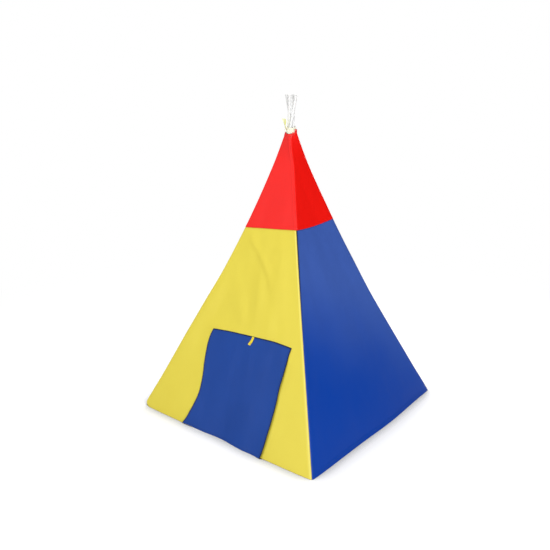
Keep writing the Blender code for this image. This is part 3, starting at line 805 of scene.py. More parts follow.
def panel_columns(side, flat_count):
    """The columns of a panel, from its left end to its right."""
    left, right = (end_steps(kind) for kind in panel_ends[side])
    flat = spaced(0.01, 1.0 / flat_count, 0.04)[1:-1]
    named = (("left", reversed(left)), ("flat", flat), ("right", right))
    return [(kind, value) for kind, values in named for value in values]


def along_wall(side, column, z):
    """The length along a wall at a column."""
    kind, value = column
    straight = wall_half(z) - corner_radius
    if kind == "left":
        return -straight - value
    if kind == "right":
        return straight + value
    first, last = (end_start(end) for end in panel_ends[side])
    return -straight - first + (2 * straight + first + last) * value


def share_of(column):
    """How far along its wall a column is, 0 at the left corner and 1 at the right."""
    return {"left": 0.0, "right": 1.0}.get(column[0], column[1])


def crease_painted_shade(s, z):
    """Painted shade: a deeper yellow along the crease."""
    along = ramp(z, 0.62, 0.68) * fall(z, 0.80, 0.86)
    return crease_shade * along * bell(s, smooth_along(crease_line, z) - 0.008, 0.012)


def to_ends(side, s, z):
    """The lengths from a place to both ends of its panel."""
    straight = wall_half(z) - corner_radius
    left, right = (straight + end_reach[end] for end in panel_ends[side])
    return s + left, right - s


def seam_highlight_and_shade(side, s, z):
    """Beside the front right seam: a painted highlight on the yellow (below 0), painted shade on the blue."""
    from_left, from_right = to_ends(side, s, z)
    if side == "front":
        return -0.42 * ramp(from_right, 0.0020, 0.0036) * fall(from_right, 0.0050, 0.0100)
    return fall(from_left, 0.0026, 0.0080) if side == "right" else 0.0


def dip_at(side, s, z):
    """How far the cloth turns in towards the seams at both ends of a row, 0 to 1."""
    return fall(min(to_ends(side, s, z)), 0.0, seam_dip_run)


print("columns of the front wall:", len(panel_columns("front", wall_columns)))

# %% [markdown]
# ## The lower walls
# Four panels of one cut each, from the hem to the red seam. The hem is a 15 mm strip turned up inside and
# stitched, which shows outside as a slightly raised band with a groove along the stitches. The upper edge
# runs on behind the red cloth, so that no light comes through the seam. The front panel also has the
# doorway, which is cut by a Boolean once the sheet has its thickness.

# %% Rows and places of the lower walls
hem_width = 0.015
stitch_row = 0.0125
groove_width = 0.0012
tuck = 0.008
lean = math.radians(20.3)
hem_steps = [0, 0.0015, 0.004, 0.008, 0.011, 0.0125, 0.014, 0.015, 0.0163, 0.018, 0.022, 0.028]
seam_steps = [-0.012, -0.006, -0.003, -0.001, 0.0, 0.0015, 0.004, tuck]


def row_list(low_steps, high_steps, count):
    """Rows that are counted from the lower edge, then as shares between, then from the upper edge."""
    named = (("low", low_steps), ("mid", np.linspace(0.0, 1.0, count)[1:-1]), ("high", high_steps))
    return [(kind, value) for kind, values in named for value in values]


def hem_relief(above, width, row):
    """A doubled band at a lower edge, with the groove of its stitches."""
    return 0.0006 * fall(above, width, width + 0.002) - 0.0004 * bell(above, row, groove_width)


def row_height(low, high, row, low_end, high_end):
    """The height of a row that is counted from the lower edge, from the upper edge, or as a share between."""
    kind, value = row
    if kind == "low":
        return low + value
    if kind == "high":
        return high + value
    return low + low_end + (high - high_end - low - low_end) * value


def wall_place(side, column, row):
    """A place on a lower wall's outer face, with its flat coordinates and its darkening."""
    low = hem_height(side, along_wall(side, column, 0.0))
    high = seam_height(side, share_of(column))
    z = row_height(low, high, row, hem_steps[-1], -seam_steps[0])
    s = along_wall(side, column, z)
    dip = dip_at(side, s, z)
    out = stand(side, s, z) + hem_relief(z - low, hem_width, stitch_row) - seam_dip * dip
    out -= 0.0012 * ramp(z, high - 0.005, high - 0.0005)
    # painted shade: in the seam dip, along the foot of the hem and where the wall runs under the red top
    edge = 0.75 * dip + 0.45 * fall(z - low, 0.0, 0.0045) + 0.5 * ramp(z, high - 0.004, high)
    edge += seam_highlight_and_shade(side, s, z) + (crease_painted_shade(s, z) if side == "front" else 0.0)
    return around(side, s, z, out), (s, z / math.cos(lean)), edge


lower_rows = row_list(hem_steps, seam_steps, 84)
print("rows of a lower wall:", len(lower_rows))

# %% Build the lower walls
def panel(name, side, flat_count, rows, place_on, material):
    columns = panel_columns(side, flat_count)
    return cloth(name, columns, rows, lambda column, row: place_on(side, column, row), material)


wall_cloth = {"front": yellow_cloth, "right": blue_cloth, "back": yellow_cloth, "left": blue_cloth}
walls = {}
for side, material in wall_cloth.items():
    walls[side] = panel(f"wall_{side}_cloth", side, wall_columns, lower_rows, wall_place, material)
    print("wall", side, len(walls[side].data.polygons), "faces")

# %% [markdown]
# ## The doorway
# An arch 380 mm wide, cut through the front panel behind the door. Its edge is bound with a yellow tape
# on the inside. We only see either of them when the door is lifted, but then they matter.

# %% The doorway's outline
doorway_middle = 0.025
doorway_width = 0.380
doorway_height = 0.388
doorway_corner = 0.060
doorway_foot = 0.02  # the last step above the floor


def arch(low=-0.05, turns=14):
    """The doorway's outline, from the floor up one side, over the top and down the other."""
    side, level = doorway_width / 2 - doorway_corner, doorway_height - doorway_corner
    points = [(doorway_width / 2, low)] + [(doorway_width / 2, z) for z in shares(30, doorway_foot, level)]
    for k in range(1, turns + 1):
        a = math.pi / 2 * k / turns
        points.append((side + doorway_corner * math.cos(a), level + doorway_corner * math.sin(a)))
    top = [(side - 2 * side * k / 20, doorway_height) for k in range(1, 19)]
    mirrored = [(-x, z) for x, z in reversed(points)]
    return [(x + doorway_middle, z) for x, z in points + top + mirrored]


outline = arch()
print("doorway outline:", len(outline), "points")

# %% Cut the doorway
def from_bmesh(name, work, material=None, angle=None):
    """A thing from a bmesh, with its faces turned outwards."""
    bmesh.ops.recalc_face_normals(work, faces=work.faces)
    mesh = bpy.data.meshes.new(name)
    work.to_mesh(mesh)
    work.free()
    if material:
        mesh.materials.append(material)
        smooth(mesh, angle)
    return in_scene(name, mesh)


work = bmesh.new()
near, far = ([work.verts.new((x, y, z)) for x, z in outline] for y in (-1.0, -0.1))
work.faces.new(near)
work.faces.new(far[::-1])
for k in range(len(outline)):
    n = (k + 1) % len(outline)
    work.faces.new((near[k], far[k], far[n], near[n]))
cutter = from_bmesh("doorway_cutter", work)
cut = walls["front"].modifiers.new("doorway", "BOOLEAN")
cut.object = cutter
cut.solver = "EXACT"
walls["front"] = baked(walls["front"])
smooth(walls["front"].data)
bpy.data.objects.remove(cutter)
print("front wall after the cut:", len(walls["front"].data.polygons), "faces")

# %% [markdown]
# ## The red top
# Four tall triangles of red cloth, sewn to the walls. Their lower edges are folded and lie on top of the
# walls with a row of stitches just above. The upper rim is hemmed round a drawstring, so it puckers in
# small waves.

# %% Build the red top
rim_band = 0.012
fold_band, fold_row = 0.010, 0.0045
pucker_pitch, pucker_depth = 0.0085, 0.0006
fold_steps = [0, 0.001, 0.003, 0.0045, 0.006, 0.008, 0.010, 0.0115, 0.014]
rim_steps = [-0.018, -0.0145, -0.012, -0.0105, -0.009, -0.006, -0.003, -0.001, 0.0]
top_rows = row_list(fold_steps, rim_steps, 56)


def top_place(side, column, row):
    """A place on the red top's outer face, with its flat coordinates and its darkening."""
    low, high = seam_height(side, share_of(column)), rim_height(side, share_of(column))
    z = row_height(low, high, row, fold_steps[-1], -rim_steps[0])
    s = along_wall(side, column, z)
    dip = dip_at(side, s, z)
    out = stand(side, s, z) * fall(z, 1.20, 1.27) + hem_relief(z - low, fold_band, fold_row) + 0.0004
    puckers = math.sin(math.tau * s / pucker_pitch + fold_seed[side]) * pucker_depth
    out += puckers * ramp(z, high - 0.03, high - 0.006) * (1 - dip)
    out += 0.0006 * ramp(z, high - rim_band - 0.001, high - rim_band + 0.001) - seam_dip * 0.8 * dip
    # painted shade: in the seam dip, along the folded lower edge, at the rim and in the rim's stitch row
    edge = 0.6 * dip + 0.35 * fall(z - low, 0.0, 0.002) + 0.4 * ramp(z, high - 0.002, high)
    edge += 0.25 * bell(z, high - rim_band, 0.001)
    return around(side, s, z, out), (s, z / math.cos(lean)), edge


tops = {
    side: panel(f"top_{side}_cloth", side, top_columns, top_rows, top_place, red_cloth)
    for side in wall_turns
}
print("red top made of", len(tops), "pieces")

# %% [markdown]
# ## The door
# A blue panel sewn to the front wall along its upper edge only. Both sides hang in slow S-curves, the
# upper right corner ends in a small ear, and the cloth stands off the wall in soft waves that grow
# towards the floor. Its hems are doubled all round, with shade painted along the very edge.

# %% The door's outline
door_left_edge = (
    (0.000, -0.229), (0.030, -0.212), (0.054, -0.203), (0.078, -0.194), (0.102, -0.187), (0.148, -0.179),
    (0.190, -0.181), (0.232, -0.187), (0.273, -0.196), (0.315, -0.202), (0.358, -0.204), (0.395, -0.199),
    (0.419, -0.189),
)
door_right_edge = (
    (0.000, 0.241), (0.040, 0.247), (0.103, 0.2505), (0.175, 0.252), (0.223, 0.2515), (0.269, 0.248),
    (0.318, 0.250), (0.366, 0.2515), (0.413, 0.251), (0.438, 0.255),
)
door_top_edge = (
    (0.0, 0.4190), (0.08, 0.4225), (0.21, 0.4280), (0.41, 0.4335), (0.60, 0.4380), (0.79, 0.4420),
    (0.91, 0.4405), (1.0, 0.4385),
)
door_bottom_edge = ((0.0, 0.0030), (0.2, 0.0016), (0.4, 0.0012), (0.6, 0.0010), (0.8, 0.0009), (1.0, 0.0008))
door_width, door_height, door_thickness = 0.455, 0.437, 0.0009
door_fold_depth = 0.0032
door_stand_off = 0.0006
door_ear = 0.0055  # how far the right edge lifts
door_sink = 0.0080  # in the doorway nothing holds the door out
door_hem, door_hem_row = 0.011, 0.0085
door_top_rows = (0.007, 0.0028)  # below the upper edge


def door_levels(across):
    """The heights of the door's lower and upper edge."""
    return smooth_along(door_bottom_edge, across), smooth_along(door_top_edge, across)


print("door at its middle, from and to:", [round(z, 4) for z in door_levels(0.5)])

# %% Drape and build the door
def door_wave(across, up):
    """How far the door stands off the wall: soft waves, and a lifted right edge."""
    free = 1 - up
    wave = 0.5 - 0.5 * math.cos(math.tau * (2.5 * across - 0.3 * free))
    lifted = door_ear * across**7 * ramp(free, 0.02, 0.35)
    return door_stand_off + door_fold_depth * free**1.4 * (0.25 + 0.75 * wave) + lifted


def door_place(across, up, out=0.0):
    """A place on the door's inner face, or this far outside it."""
    low, high = door_levels(across)
    sides = ((door_left_edge, door_bottom_edge[0][1]), (door_right_edge, door_bottom_edge[-1][1]))
    left, right = (smooth_along(edge, foot + (edge[-1][0] - foot) * up) for edge, foot in sides)
    x = left + (right - left) * across
    z = low + (high - low) * up
    free = 1 - up
    crinkle = rough(x * 11, z * 7, 88) * 0.0016 * ramp(free, 0.0, 0.25)
    pulls = rough(x * 30, z * 6, 93) * 0.0006 * ramp(free, 0.0, 0.08)
    behind = stand("front", x, z) + hem_relief(z, hem_width, stitch_row) * fall(z, 0.0, 0.03)
    behind -= door_sink * bell(x, -0.015, 0.10) * fall(z, 0.0, belly_top)
    off = door_wave(across, up) + behind + max(crinkle + pulls, -door_stand_off * 0.5)
    return Vector((x, -wall_half(z) - off - out, z))


def door_cloth_place(across, up):
    """A place on the door's outer face: doubled hems, stitch grooves, and painted shade at the edge and stitch row."""
    beside = min(across, 1 - across) * door_width
    far, top = min(beside, up * door_height), (1 - up) * door_height
    relief = 0.0005 * fall(far, door_hem, door_hem + 0.002) - 0.0004 * bell(far, door_hem_row, groove_width)
    relief += 0.0005 * fall(top, 0.009, 0.011) - 0.0005 * bell(top, door_top_rows[0], groove_width)
    # painted shade along the very edge and in the hem's stitch row
    edge = fall(beside, 0.0020, 0.0060) + fall(top, 0.0025, 0.0060) + 0.22 * bell(far, door_hem_row, 0.0010)
    place = door_place(across, up, door_thickness + relief)
    return place, (across * door_width, up * door_height), edge


door_columns, door_rows = (spaced(fine, 0.0125, 0.042) for fine in (0.0032, 0.0034))
door_flap = cloth("door_flap_cloth", door_columns, door_rows, door_cloth_place, door_cloth, door_thickness)
print("door", len(door_flap.data.polygons), "faces")

# %% [markdown]
# ## The door's ties
# A yellow strap is sewn into the seam above the door, and hangs over it with a kink; its other half hangs
# inside. Rolled up, the door is held between the two. Both are flat tapes, so a ribbon helper will do: it
# takes the middle line, the way across and the way out.

# %% Ribbon helper
tape_edge_tone = 0.4


def run_along(line):
    """The length from the start of a line to each of its places."""
    run = [0.0]
    for a, b in zip(line, line[1:]):
        run.append(run[-1] + (b - a).length)
    return run


def way_along(line, k):
    """The direction of a line at one of its places."""
    return (line[min(k + 1, len(line) - 1)] - line[max(k - 1, 0)]).normalized()


def ribbon(name, middle, across, outward, widths, thickness, material, columns=6, cup=0.0):
    """A flat tape along a line of places, with rounded edges: across and outward are directions at each."""
    run = run_along(middle)
    if isinstance(widths, float):
        widths = [widths] * len(middle)

    def place_at(column, k):
        t = 2 * column - 1
        sideways = across[k].normalized() * (t * widths[k] / 2)
        place = middle[k] + sideways + outward[k].normalized() * (thickness / 2 - cup * t * t)
        return place, (column * widths[k], run[k]), tape_edge_tone * ramp(abs(t), 0.75, 1.0)

    return cloth(name, shares(columns), range(len(middle)), place_at, material, thickness)


def on_line(points, count):
    """Places spaced evenly by share along a smooth line through points."""
    out = []
    spans = len(points) - 1
    for k in range(count + 1):
        t = k / count * spans
        i = min(int(t), spans - 1)
        f = t - i
        p0, p1, p2, p3 = (points[min(max(i + j, 0), spans)] for j in (-1, 0, 1, 2))
        bend = 2 * p0 - 5 * p1 + 4 * p2 - p3
        out.append((2 * p1 + (p2 - p0) * f + bend * f * f + (-p0 + 3 * p1 - 3 * p2 + p3) * f**3) * 0.5)
    return out


def twisted(line, outward, angle, start, end, hand=1):
    """The ways across and out of a tape along a line, turned by an angle between two shares of it."""
    across, out = [], []
    for k in range(len(line)):
        way = way_along(line, k)
        up = (outward - way * outward.dot(way)).normalized()
        turn = Matrix.Rotation(angle * ramp(k / (len(line) - 1), start, end), 3, way)
        across.append(turn @ way.cross(up) * hand)
        out.append(turn @ up)
    return across, out


print("ribbon helper ready")

# %% The tie over the door
tie_material = cloth_material("yellow_tape", linear(240, 214, 50), linear(190, 150, 20), roughness=0.6)
tie_width, tie_thickness = 0.0115, 0.0009
tie_line = (  # x, z and how far it stands off the door
    (0.0455, 0.4345, 0.0006), (0.0450, 0.4285, 0.0016), (0.0443, 0.4220, 0.0024), (0.0412, 0.4140, 0.0030),
    (0.0362, 0.4060, 0.0022), (0.0335, 0.3995, 0.0016),
)


def door_front(x, z, out):
    """A place off the door's outer face near its top, for what lies on it."""
    across = (x + 0.190) / 0.443
    low, high = door_levels(across)
    return Vector((x, door_place(across, min((z - low) / (high - low), 1.0), door_thickness + out).y, z))


tie_middle = on_line([door_front(*point) for point in tie_line], 26)
tie_ways = twisted(tie_middle, Vector((0, -1, 0.3)), math.radians(-18), 0.3, 1.0, hand=-1)
door_tie = ribbon("door_tie_tape", tie_middle, *tie_ways, tie_width, tie_thickness, tie_material, cup=0.0007)
print("tie length", round(run_along(tie_middle)[-1], 4))

# %% [markdown]
# ## Stitches
# Every seam and hem is sewn by machine: a row of short grains of thread, each pulled a little into the
# cloth. On the real tent the rows are the hem, the red seam, the rim, the door's hems, and two along
# every corner, which hold the pole's sleeve inside. They are far too many to place by hand, so each row
# walks along the lines that the cloth itself was made from, and a stitch is one small rounded grain. A
# row is one mesh with its cloth's others, and folds with it.

# %% Thread and one stitch
stitch_pitch = 0.0045
stitch_long = 0.0031
stitch_wide = 0.00085
stitch_tall = 0.00045
corner_row = 0.0040  # from the start of the corner's bend


def thread_material(name, colour, shade):
    """Polyester thread: two tones that wander along the row, and a fine twist."""
    material, tree, shader = new_material(name)
    place = add(tree, "TexCoord").outputs["Object"]
    wander = add(tree, "TexNoise", Vector=place, Scale=160.0, Detail=2.0)
    twist = add(tree, "TexWave", {"bands_direction": "DIAGONAL"}, Vector=place, Scale=900.0).outputs["Fac"]
    relief = add(tree, "Bump", Strength=0.3, Distance=0.0001, Height=twist)
    tones = mixed(tree, wander, shade, colour)
    feed(shader, Base_Color=tones, Normal=relief, Roughness=0.5, Specular_IOR_Level=0.3)
    return material


def spread(line):
    """The middle, the way along and the way out of every stitch on a line of (place, outward) pairs."""
    reach = run_along([place for place, _ in line])
    for n in range(int(reach[-1] / stitch_pitch)):
        at = stitch_pitch * (n + 0.5)
        i = min(int(np.searchsorted(reach, at)), len(line) - 1)
        (a, out_a), (b, out_b) = line[i - 1], line[i]
        share = (at - reach[i - 1]) / (reach[i] - reach[i - 1])
        way = (b - a).normalized()
        out = out_a.lerp(out_b, share)
        yield a.lerp(b, share), way, (out - way * out.dot(way)).normalized()


def stitches(name, lines, material):
    """Rows of stitches as one mesh of small rounded grains."""
    places, faces = [], []
    for middle, way, out in (stitch for line in lines for stitch in spread(line)):
        first = len(places)
        top, flank = out * stitch_tall, way.cross(out) * (stitch_wide / 2)
        places.append(middle - way * (stitch_long / 2) - top * 0.3)
        for share in (-0.28, 0.28):
            here = middle + way * (stitch_long * share)
            places += [here + flank, here + top, here - flank, here - top * 0.6]
        places.append(middle + way * (stitch_long / 2) - top * 0.3)
        for k in range(4):
            n = (k + 1) % 4
            a, b, c, d = (first + j for j in (1 + k, 1 + n, 5 + k, 5 + n))
            faces += [(first, a, b), (a, c, d, b), (first + 9, d, c)]
    mesh = bpy.data.meshes.new(name)
    mesh.from_pydata(places, [], faces)
    mesh.materials.append(material)
    mesh.shade_smooth()
    return in_scene(name, mesh)


yellow_thread = thread_material("yellow_thread", linear(240, 222, 84), linear(208, 184, 40))
blue_thread = thread_material("blue_thread", linear(60, 92, 176), linear(24, 50, 124))
navy_thread = thread_material("navy_thread", linear(20, 52, 120), linear(6, 24, 70))
red_thread = thread_material("red_thread", linear(240, 24, 16), linear(176, 10, 8))
print("a stitch every", 1000 * stitch_pitch, "mm")

# %% Sew the walls and the top
def sewn_line(place_on, side, columns, rows):
    """A line of places on a panel, with the way out of the cloth at each."""
    line = []
    for column in columns:
        for row in rows:
            place, (s, climb), _ = place_on(side, column, row)
            z = climb * math.cos(lean)
            line.append((place, (around(side, s, z, 0.01) - around(side, s, z)).normalized()))
    return line


def corner_lines(place_on, side, rows):
    """The two rows beside a panel's corners that hold the sleeves."""
    kinds = zip(("left", "right"), panel_ends[side])
    columns = [(end, min(end_reach[kind], 0.0) - corner_row) for end, kind in kinds]
    return [sewn_line(place_on, side, [column], rows) for column in columns]


threads = {"front": yellow_thread, "right": blue_thread, "back": yellow_thread, "left": blue_thread}
wall_threads, top_threads = {}, {}
for side in wall_turns:
    columns = panel_columns(side, wall_columns)
    lines = [sewn_line(wall_place, side, columns, [("low", stitch_row)])]
    if side == "front":  # the doorway interrupts the hem
        half_gap, hem = doorway_width / 2 + 0.003, lines[0]
        lines = [[spot for spot in hem if (spot[0].x - doorway_middle) * hand > half_gap] for hand in (-1, 1)]
    lines += corner_lines(wall_place, side, lower_rows[2:-3])
    wall_threads[side] = stitches(f"wall_{side}_stitches", lines, threads[side])
    lines = [sewn_line(top_place, side, columns, [row]) for row in (("low", fold_row), ("high", -rim_band))]
    lines += corner_lines(top_place, side, top_rows[1:-1])
    top_threads[side] = stitches(f"top_{side}_stitches", lines, red_thread)
print("rows sewn on", len(wall_threads), "walls and", len(top_threads), "tops")

# %% Sew the door
off_wall = Vector((0, -math.cos(lean), math.sin(lean)))


def door_line(pairs):
    """A line of places on the door, from (across, up) shares."""
    return [(door_cloth_place(across, up)[0], off_wall) for across, up in pairs]


inset_x, inset_z = door_hem_row / door_width, door_hem_row / door_height
steps = shares(80)
door_lines = [door_line([(share, 1 - row / door_height) for share in steps]) for row in door_top_rows]
rim = [(inset_x, 1 - share * (1 - inset_z)) for share in steps[3:]]
rim += [(share, inset_z) for share in steps[2:-2]]
rim += [(1 - inset_x, inset_z + share * (1 - inset_z)) for share in steps[:-3]]
door_seam_threads = stitches("door_seam_stitches", door_lines, navy_thread)
door_threads = stitches("door_flap_stitches", [door_line(rim)], navy_thread)
sewn = (*wall_threads.values(), *top_threads.values(), door_seam_threads, door_threads)
print("stitches:", sum(len(threads_of.data.vertices) for threads_of in sewn) // 10)

# %% [markdown]
# ## Send the pieces along
# Each piece now says which CAD body carries it and which node it stands for. The walls turn with their
# bodies when the tent folds, and the poles come together, so each wall also draws in towards its own
# middle, or else the walls would run through each other. The door swings up on its own body and draws in
# with its wall, and the stitches of its seam stay on the wall. The tie is sewn in at that seam, so its
# cloth bends there.

# %% Rides for the cloth
along_x, along_y = (1, 0, 0), (0, 1, 0)
cloth_facts = {  # a wall's slot, the axis it draws in along, and the areas of the wall and its top
    "front": ("cloth_yellow", along_x, 0.49, 0.073),
    "right": ("cloth_blue", along_y, 0.63, 0.073),
    "back": ("cloth_yellow", along_x, 0.61, 0.067),
    "left": ("cloth_blue", along_y, 0.61, 0.067),
}
wall_flat, top_flat, door_flat, tie_flat = (1.00, 0.95), (0.30, 0.43), (0.47, 0.47), (0.0115, 0.042)
folded_keep = 0.26


def stand_for(piece, slot, *nodes, body=None):
    """A piece rides a body, and takes the place of CAD nodes, with one slot."""
    if body:
        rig.ride(piece, body)
    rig.replaces(piece, *nodes)
    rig.slot(piece, slot)


def hang(piece, side, *nodes, slot=None, body=None):
    """A piece that belongs to a wall: it turns with it, or with its door, and narrows as the tent folds."""
    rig.ride(piece, body or f"wall_{side}")
    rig.squash(piece, "fold", axis=cloth_facts[side][1], anchor=(0, 0, crossing_height), keep=folded_keep)
    if nodes:
        stand_for(piece, slot, *nodes)


for side, (wall_slot, _, wall_area, top_area) in cloth_facts.items():
    for kind, piece, thread, slot, flat, area in (
        ("panel", walls[side], wall_threads[side], wall_slot, wall_flat, wall_area),
        ("top", tops[side], top_threads[side], "cloth_red", top_flat, top_area),
    ):
        hang(piece, side, f"{kind}_{side}", slot=slot)
        hang(thread, side)
        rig.sheet(
            piece, flat=flat, held="stretched", area=area,
            rests_on=[f"sleeve_{end}" for end in ends[side]], with_pieces=[thread],
        )
print("walls and tops hung on", sorted(cloth_facts))

# %% Rides for the door and its tie
hang(door_flap, "front", "door_flap", slot="door_blue", body="door")
hang(door_threads, "front", body="door")
hang(door_seam_threads, "front")
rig.sheet(
    door_flap, flat=door_flat, held="hung", rests_on=["wall_front_cloth"],
    with_pieces=[door_threads, door_seam_threads],
)

hinge_above, hinge_below = 0.004, 0.016  # the length of the tie that bends as the door is lifted
hinge_left, hinge_right = (
    Vector((edge[-1][1], -wall_half(edge[-1][0]), edge[-1][0])) for edge in (door_left_edge, door_right_edge)
)
hinge_middle = (hinge_left + hinge_right) / 2
down_way = (hinge_right - hinge_left).cross(off_wall).normalized()
bend_start, bend_end = hinge_middle - down_way * hinge_above, hinge_middle + down_way * hinge_below
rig.blend(door_tie, "wall_front", "door", bend_start, bend_end)
stand_for(door_tie, "cloth_yellow", "door_tie")
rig.sheet(door_tie, flat=tie_flat, held="hung", rests_on=["door_flap_cloth"])
print("the door's seam is", round((hinge_right - hinge_left).length, 3), "m long")

# %% [markdown]
# ## The poles
# Each pole is a white plastic tube in three lengths. It leans in the cover's corner, bends free of the
# cloth near the top, and passes beside the middle, so that the four can cross without meeting. The line
# is the CAD model's. A curve with a round bevel gives a true tube with smooth sides.

# %% A pole's line
sheet_thickness = 0.0012
steepest_lean = math.radians(23)
touch_gap = 0.0003
pole_radius = 0.006
pole_top = crossing_height + 0.115
crossing_offset = 0.0094
tip_spread_share = 0.18
bend_run = 0.140
bend_height = cover_top - bend_run
sleeve_outer = pole_radius + 0.0005 + 0.001
pole_seat = (sheet_thickness + 2 * touch_gap + sleeve_outer) / math.cos(steepest_lean)
leg_turns = {"fr": 315, "br": 45, "bl": 135, "fl": 225}


def pole_side(z):
    return crossing_offset * math.sin(math.pi / 2 * min(z / crossing_height, 1.0))


def pole_seated(z):
    return math.sqrt(2) * (wall_half(z) - pole_seat) - pole_side(z)


def pole_out(z):
    """How far a pole is from the middle, along the line over its corner."""
    if z <= bend_height:
        return pole_seated(z)
    if z >= cover_top:
        return tip_spread_share * (crossing_height - z)
    small = bend_run / 1000
    start, before = pole_seated(bend_height), pole_seated(bend_height - small)
    end = tip_spread_share * (crossing_height - cover_top)
    slope = (start - before) / small
    return eased((z - bend_height) / bend_run, bend_run, start, end, slope, -tip_spread_share)


def pole_at(corner, z):
    return turned_by(math.radians(leg_turns[corner]), pole_out(z), pole_side(z), z)


def pole_way(corner, z):
    return (pole_at(corner, z + 0.003) - pole_at(corner, z - 0.003)).normalized()


print("a pole's foot is", round(pole_out(0), 3), "m from the middle")

# %% [markdown]
# ## White plastic
# The tubes are extruded, so they carry faint lines along their length, and handling has left them a
# little rough. A stretched noise does the lines; a second one changes the gloss.

# %% Plastic materials
def plastic(name, colour, roughness, stretch=(60, 60, 1.2), specular=0.3):
    """Plastic or rubber: fine lines along it, and a noise that changes its gloss and its tone."""
    material, tree, shader = new_material(name)
    place = add(tree, "TexCoord").outputs["Object"]
    lines = add(tree, "TexNoise", Vector=multiply(tree, place, stretch), Scale=14.0, Detail=3.0)
    bumps = add(tree, "Bump", Strength=0.06, Distance=0.00006, Height=lines)
    wear = add(tree, "TexNoise", Vector=place, Scale=55.0, Detail=4.0)
    gloss = add(tree, "MapRange", Value=wear, To_Min=roughness - 0.08, To_Max=roughness + 0.12)
    tone = mixed(tree, wear, colour, (*(0.95 * c for c in colour[:3]), 1))
    feed(shader, Base_Color=tone, Normal=bumps, Roughness=gloss, Specular_IOR_Level=specular)
    return material


pole_plastic = plastic("white_tube", linear(246, 246, 245), 0.40, specular=0.06)
connector_plastic = plastic("dark_connector", linear(42, 42, 45), 0.5, stretch=(8, 8, 8))
foot_rubber = plastic("pale_rubber", linear(236, 236, 232), 0.7, stretch=(4, 4, 40))
print("plastics:", pole_plastic.name, connector_plastic.name, foot_rubber.name)

# %% Tube and cap helpers
tip_cap_height = 0.004
tip_low = pole_top - tip_cap_height
foot_height = 0.006
collar = 0.003 + touch_gap
first_break, second_break = 0.324 * pole_top, 0.655 * pole_top
spans = {  # where each length starts and ends, and its steps
    "lower": (foot_height, first_break - collar, 24),
    "middle": (first_break + collar, second_break - collar, 24),
    "upper": (second_break + collar, tip_low - touch_gap, 60),
}
merge_distance = 1e-6


def round_tube(name, points, radius, material):
    """A round rod along a line of places."""
    curve = bpy.data.curves.new(name, "CURVE")
    curve.dimensions = "3D"
    curve.bevel_depth = radius
    curve.bevel_resolution = 6
    curve.use_fill_caps = True
    spline = curve.splines.new("POLY")
    spline.points.add(len(points) - 1)
    for knot, point in zip(spline.points, points):
        knot.co = (*point, 1)
    guide = baked(in_scene(name, curve))
    work = bmesh.new()
    work.from_mesh(guide.data)
    bpy.data.objects.remove(guide)
    bmesh.ops.remove_doubles(work, verts=work.verts, dist=merge_distance)
    return from_bmesh(name, work, material, 45)


def turned(name, profile, corner, z, material, steps=40, level=None):
    """A solid of revolution from (radius, height) pairs, on a pole's line at a height."""
    work = bmesh.new()
    line = [work.verts.new((r, 0, up)) for r, up in profile]
    edges = [work.edges.new((a, b)) for a, b in zip(line, line[1:])]
    bmesh.ops.spin(
        work, geom=line + edges, cent=(0, 0, 0), axis=(0, 0, 1), angle=math.tau, steps=steps, use_merge=True
    )
    bmesh.ops.remove_doubles(work, verts=work.verts, dist=merge_distance)
    turn = Vector((0, 0, 1)).rotation_difference(pole_way(corner, z)).to_matrix().to_4x4()
    work.transform(Matrix.Translation(pole_at(corner, z)) @ turn)
    if level is not None:
        for vertex in work.verts:
            vertex.co.z = max(vertex.co.z, level)
    return from_bmesh(name, work, material, 35)


print("lengths of a pole:", {span: round(high - low, 3) for span, (low, high, _) in spans.items()})

# %% Build the poles, their tips and their feet
r, top = pole_radius, tip_cap_height
tip_profile = [
    (0, top), (r * 0.45, top - 0.0001), (r * 0.68, top - 0.0005), (r * 0.86, top - 0.0013),
    (r * 0.97, top - 0.0024), (r, 0.0010), (r, 0.0004), (r * 0.96, 0.0), (r * 0.7, 0.0), (r * 0.7, -0.010),
    (r * 0.6, -0.012), (0, -0.012),
]
inner, outer = pole_radius + 0.0005, pole_radius + 0.0015
groove = outer - 0.0004
foot_profile = [(0, -touch_gap), (inner, -touch_gap), (inner, 0.022)]
foot_profile += [(outer - 0.0005, 0.022), (outer, 0.0213)]
for z in (0.018 - k * 0.0042 for k in range(4)):
    foot_profile += [(outer, z), (groove, z - 0.0006), (groove, z - 0.0014), (outer, z - 0.0020)]
foot_profile += [(outer, -0.012), (0, -0.012)]
for corner in leg_turns:
    leg = f"leg_{corner}"
    for span, (low, high, count) in spans.items():
        line = [pole_at(corner, z) for z in shares(count, low, high)]
        rod = round_tube(f"rod_{corner}_{span}", line, pole_radius, pole_plastic)
        stand_for(rod, "pole_white", f"pole_{corner}_{span}", body=leg)
    cap = turned(f"tip_{corner}", tip_profile, corner, tip_low, pole_plastic)
    stand_for(cap, "pole_white", f"tip_cap_{corner}", body=leg)
    foot = turned(f"foot_{corner}", foot_profile, corner, foot_height, foot_rubber, steps=48, level=0.0)
    stand_for(foot, "foot_rubber", f"foot_cap_{corner}", body=leg)
    for which in ("lower", "upper"):
        node = frame["nodes"][f"connector_{corner}_{which}"]
        node.data.materials.clear()
        node.data.materials.append(connector_plastic)
print("poles, caps and feet made")

# %% [markdown]
# ## The sleeves
# Inside each corner a narrow tube of cloth is sewn to the cover, and the pole is pushed up through it. It
# is slack between its stitches, so it puckers a little along its length. A grid that is wrapped round the
# pole's line, with noise on its radius, gives that.

# %% Build the sleeves
sleeve_low = 0.036
sleeve_cloth_radius = 0.0073
sleeve_flat = (0.046, 1.22)


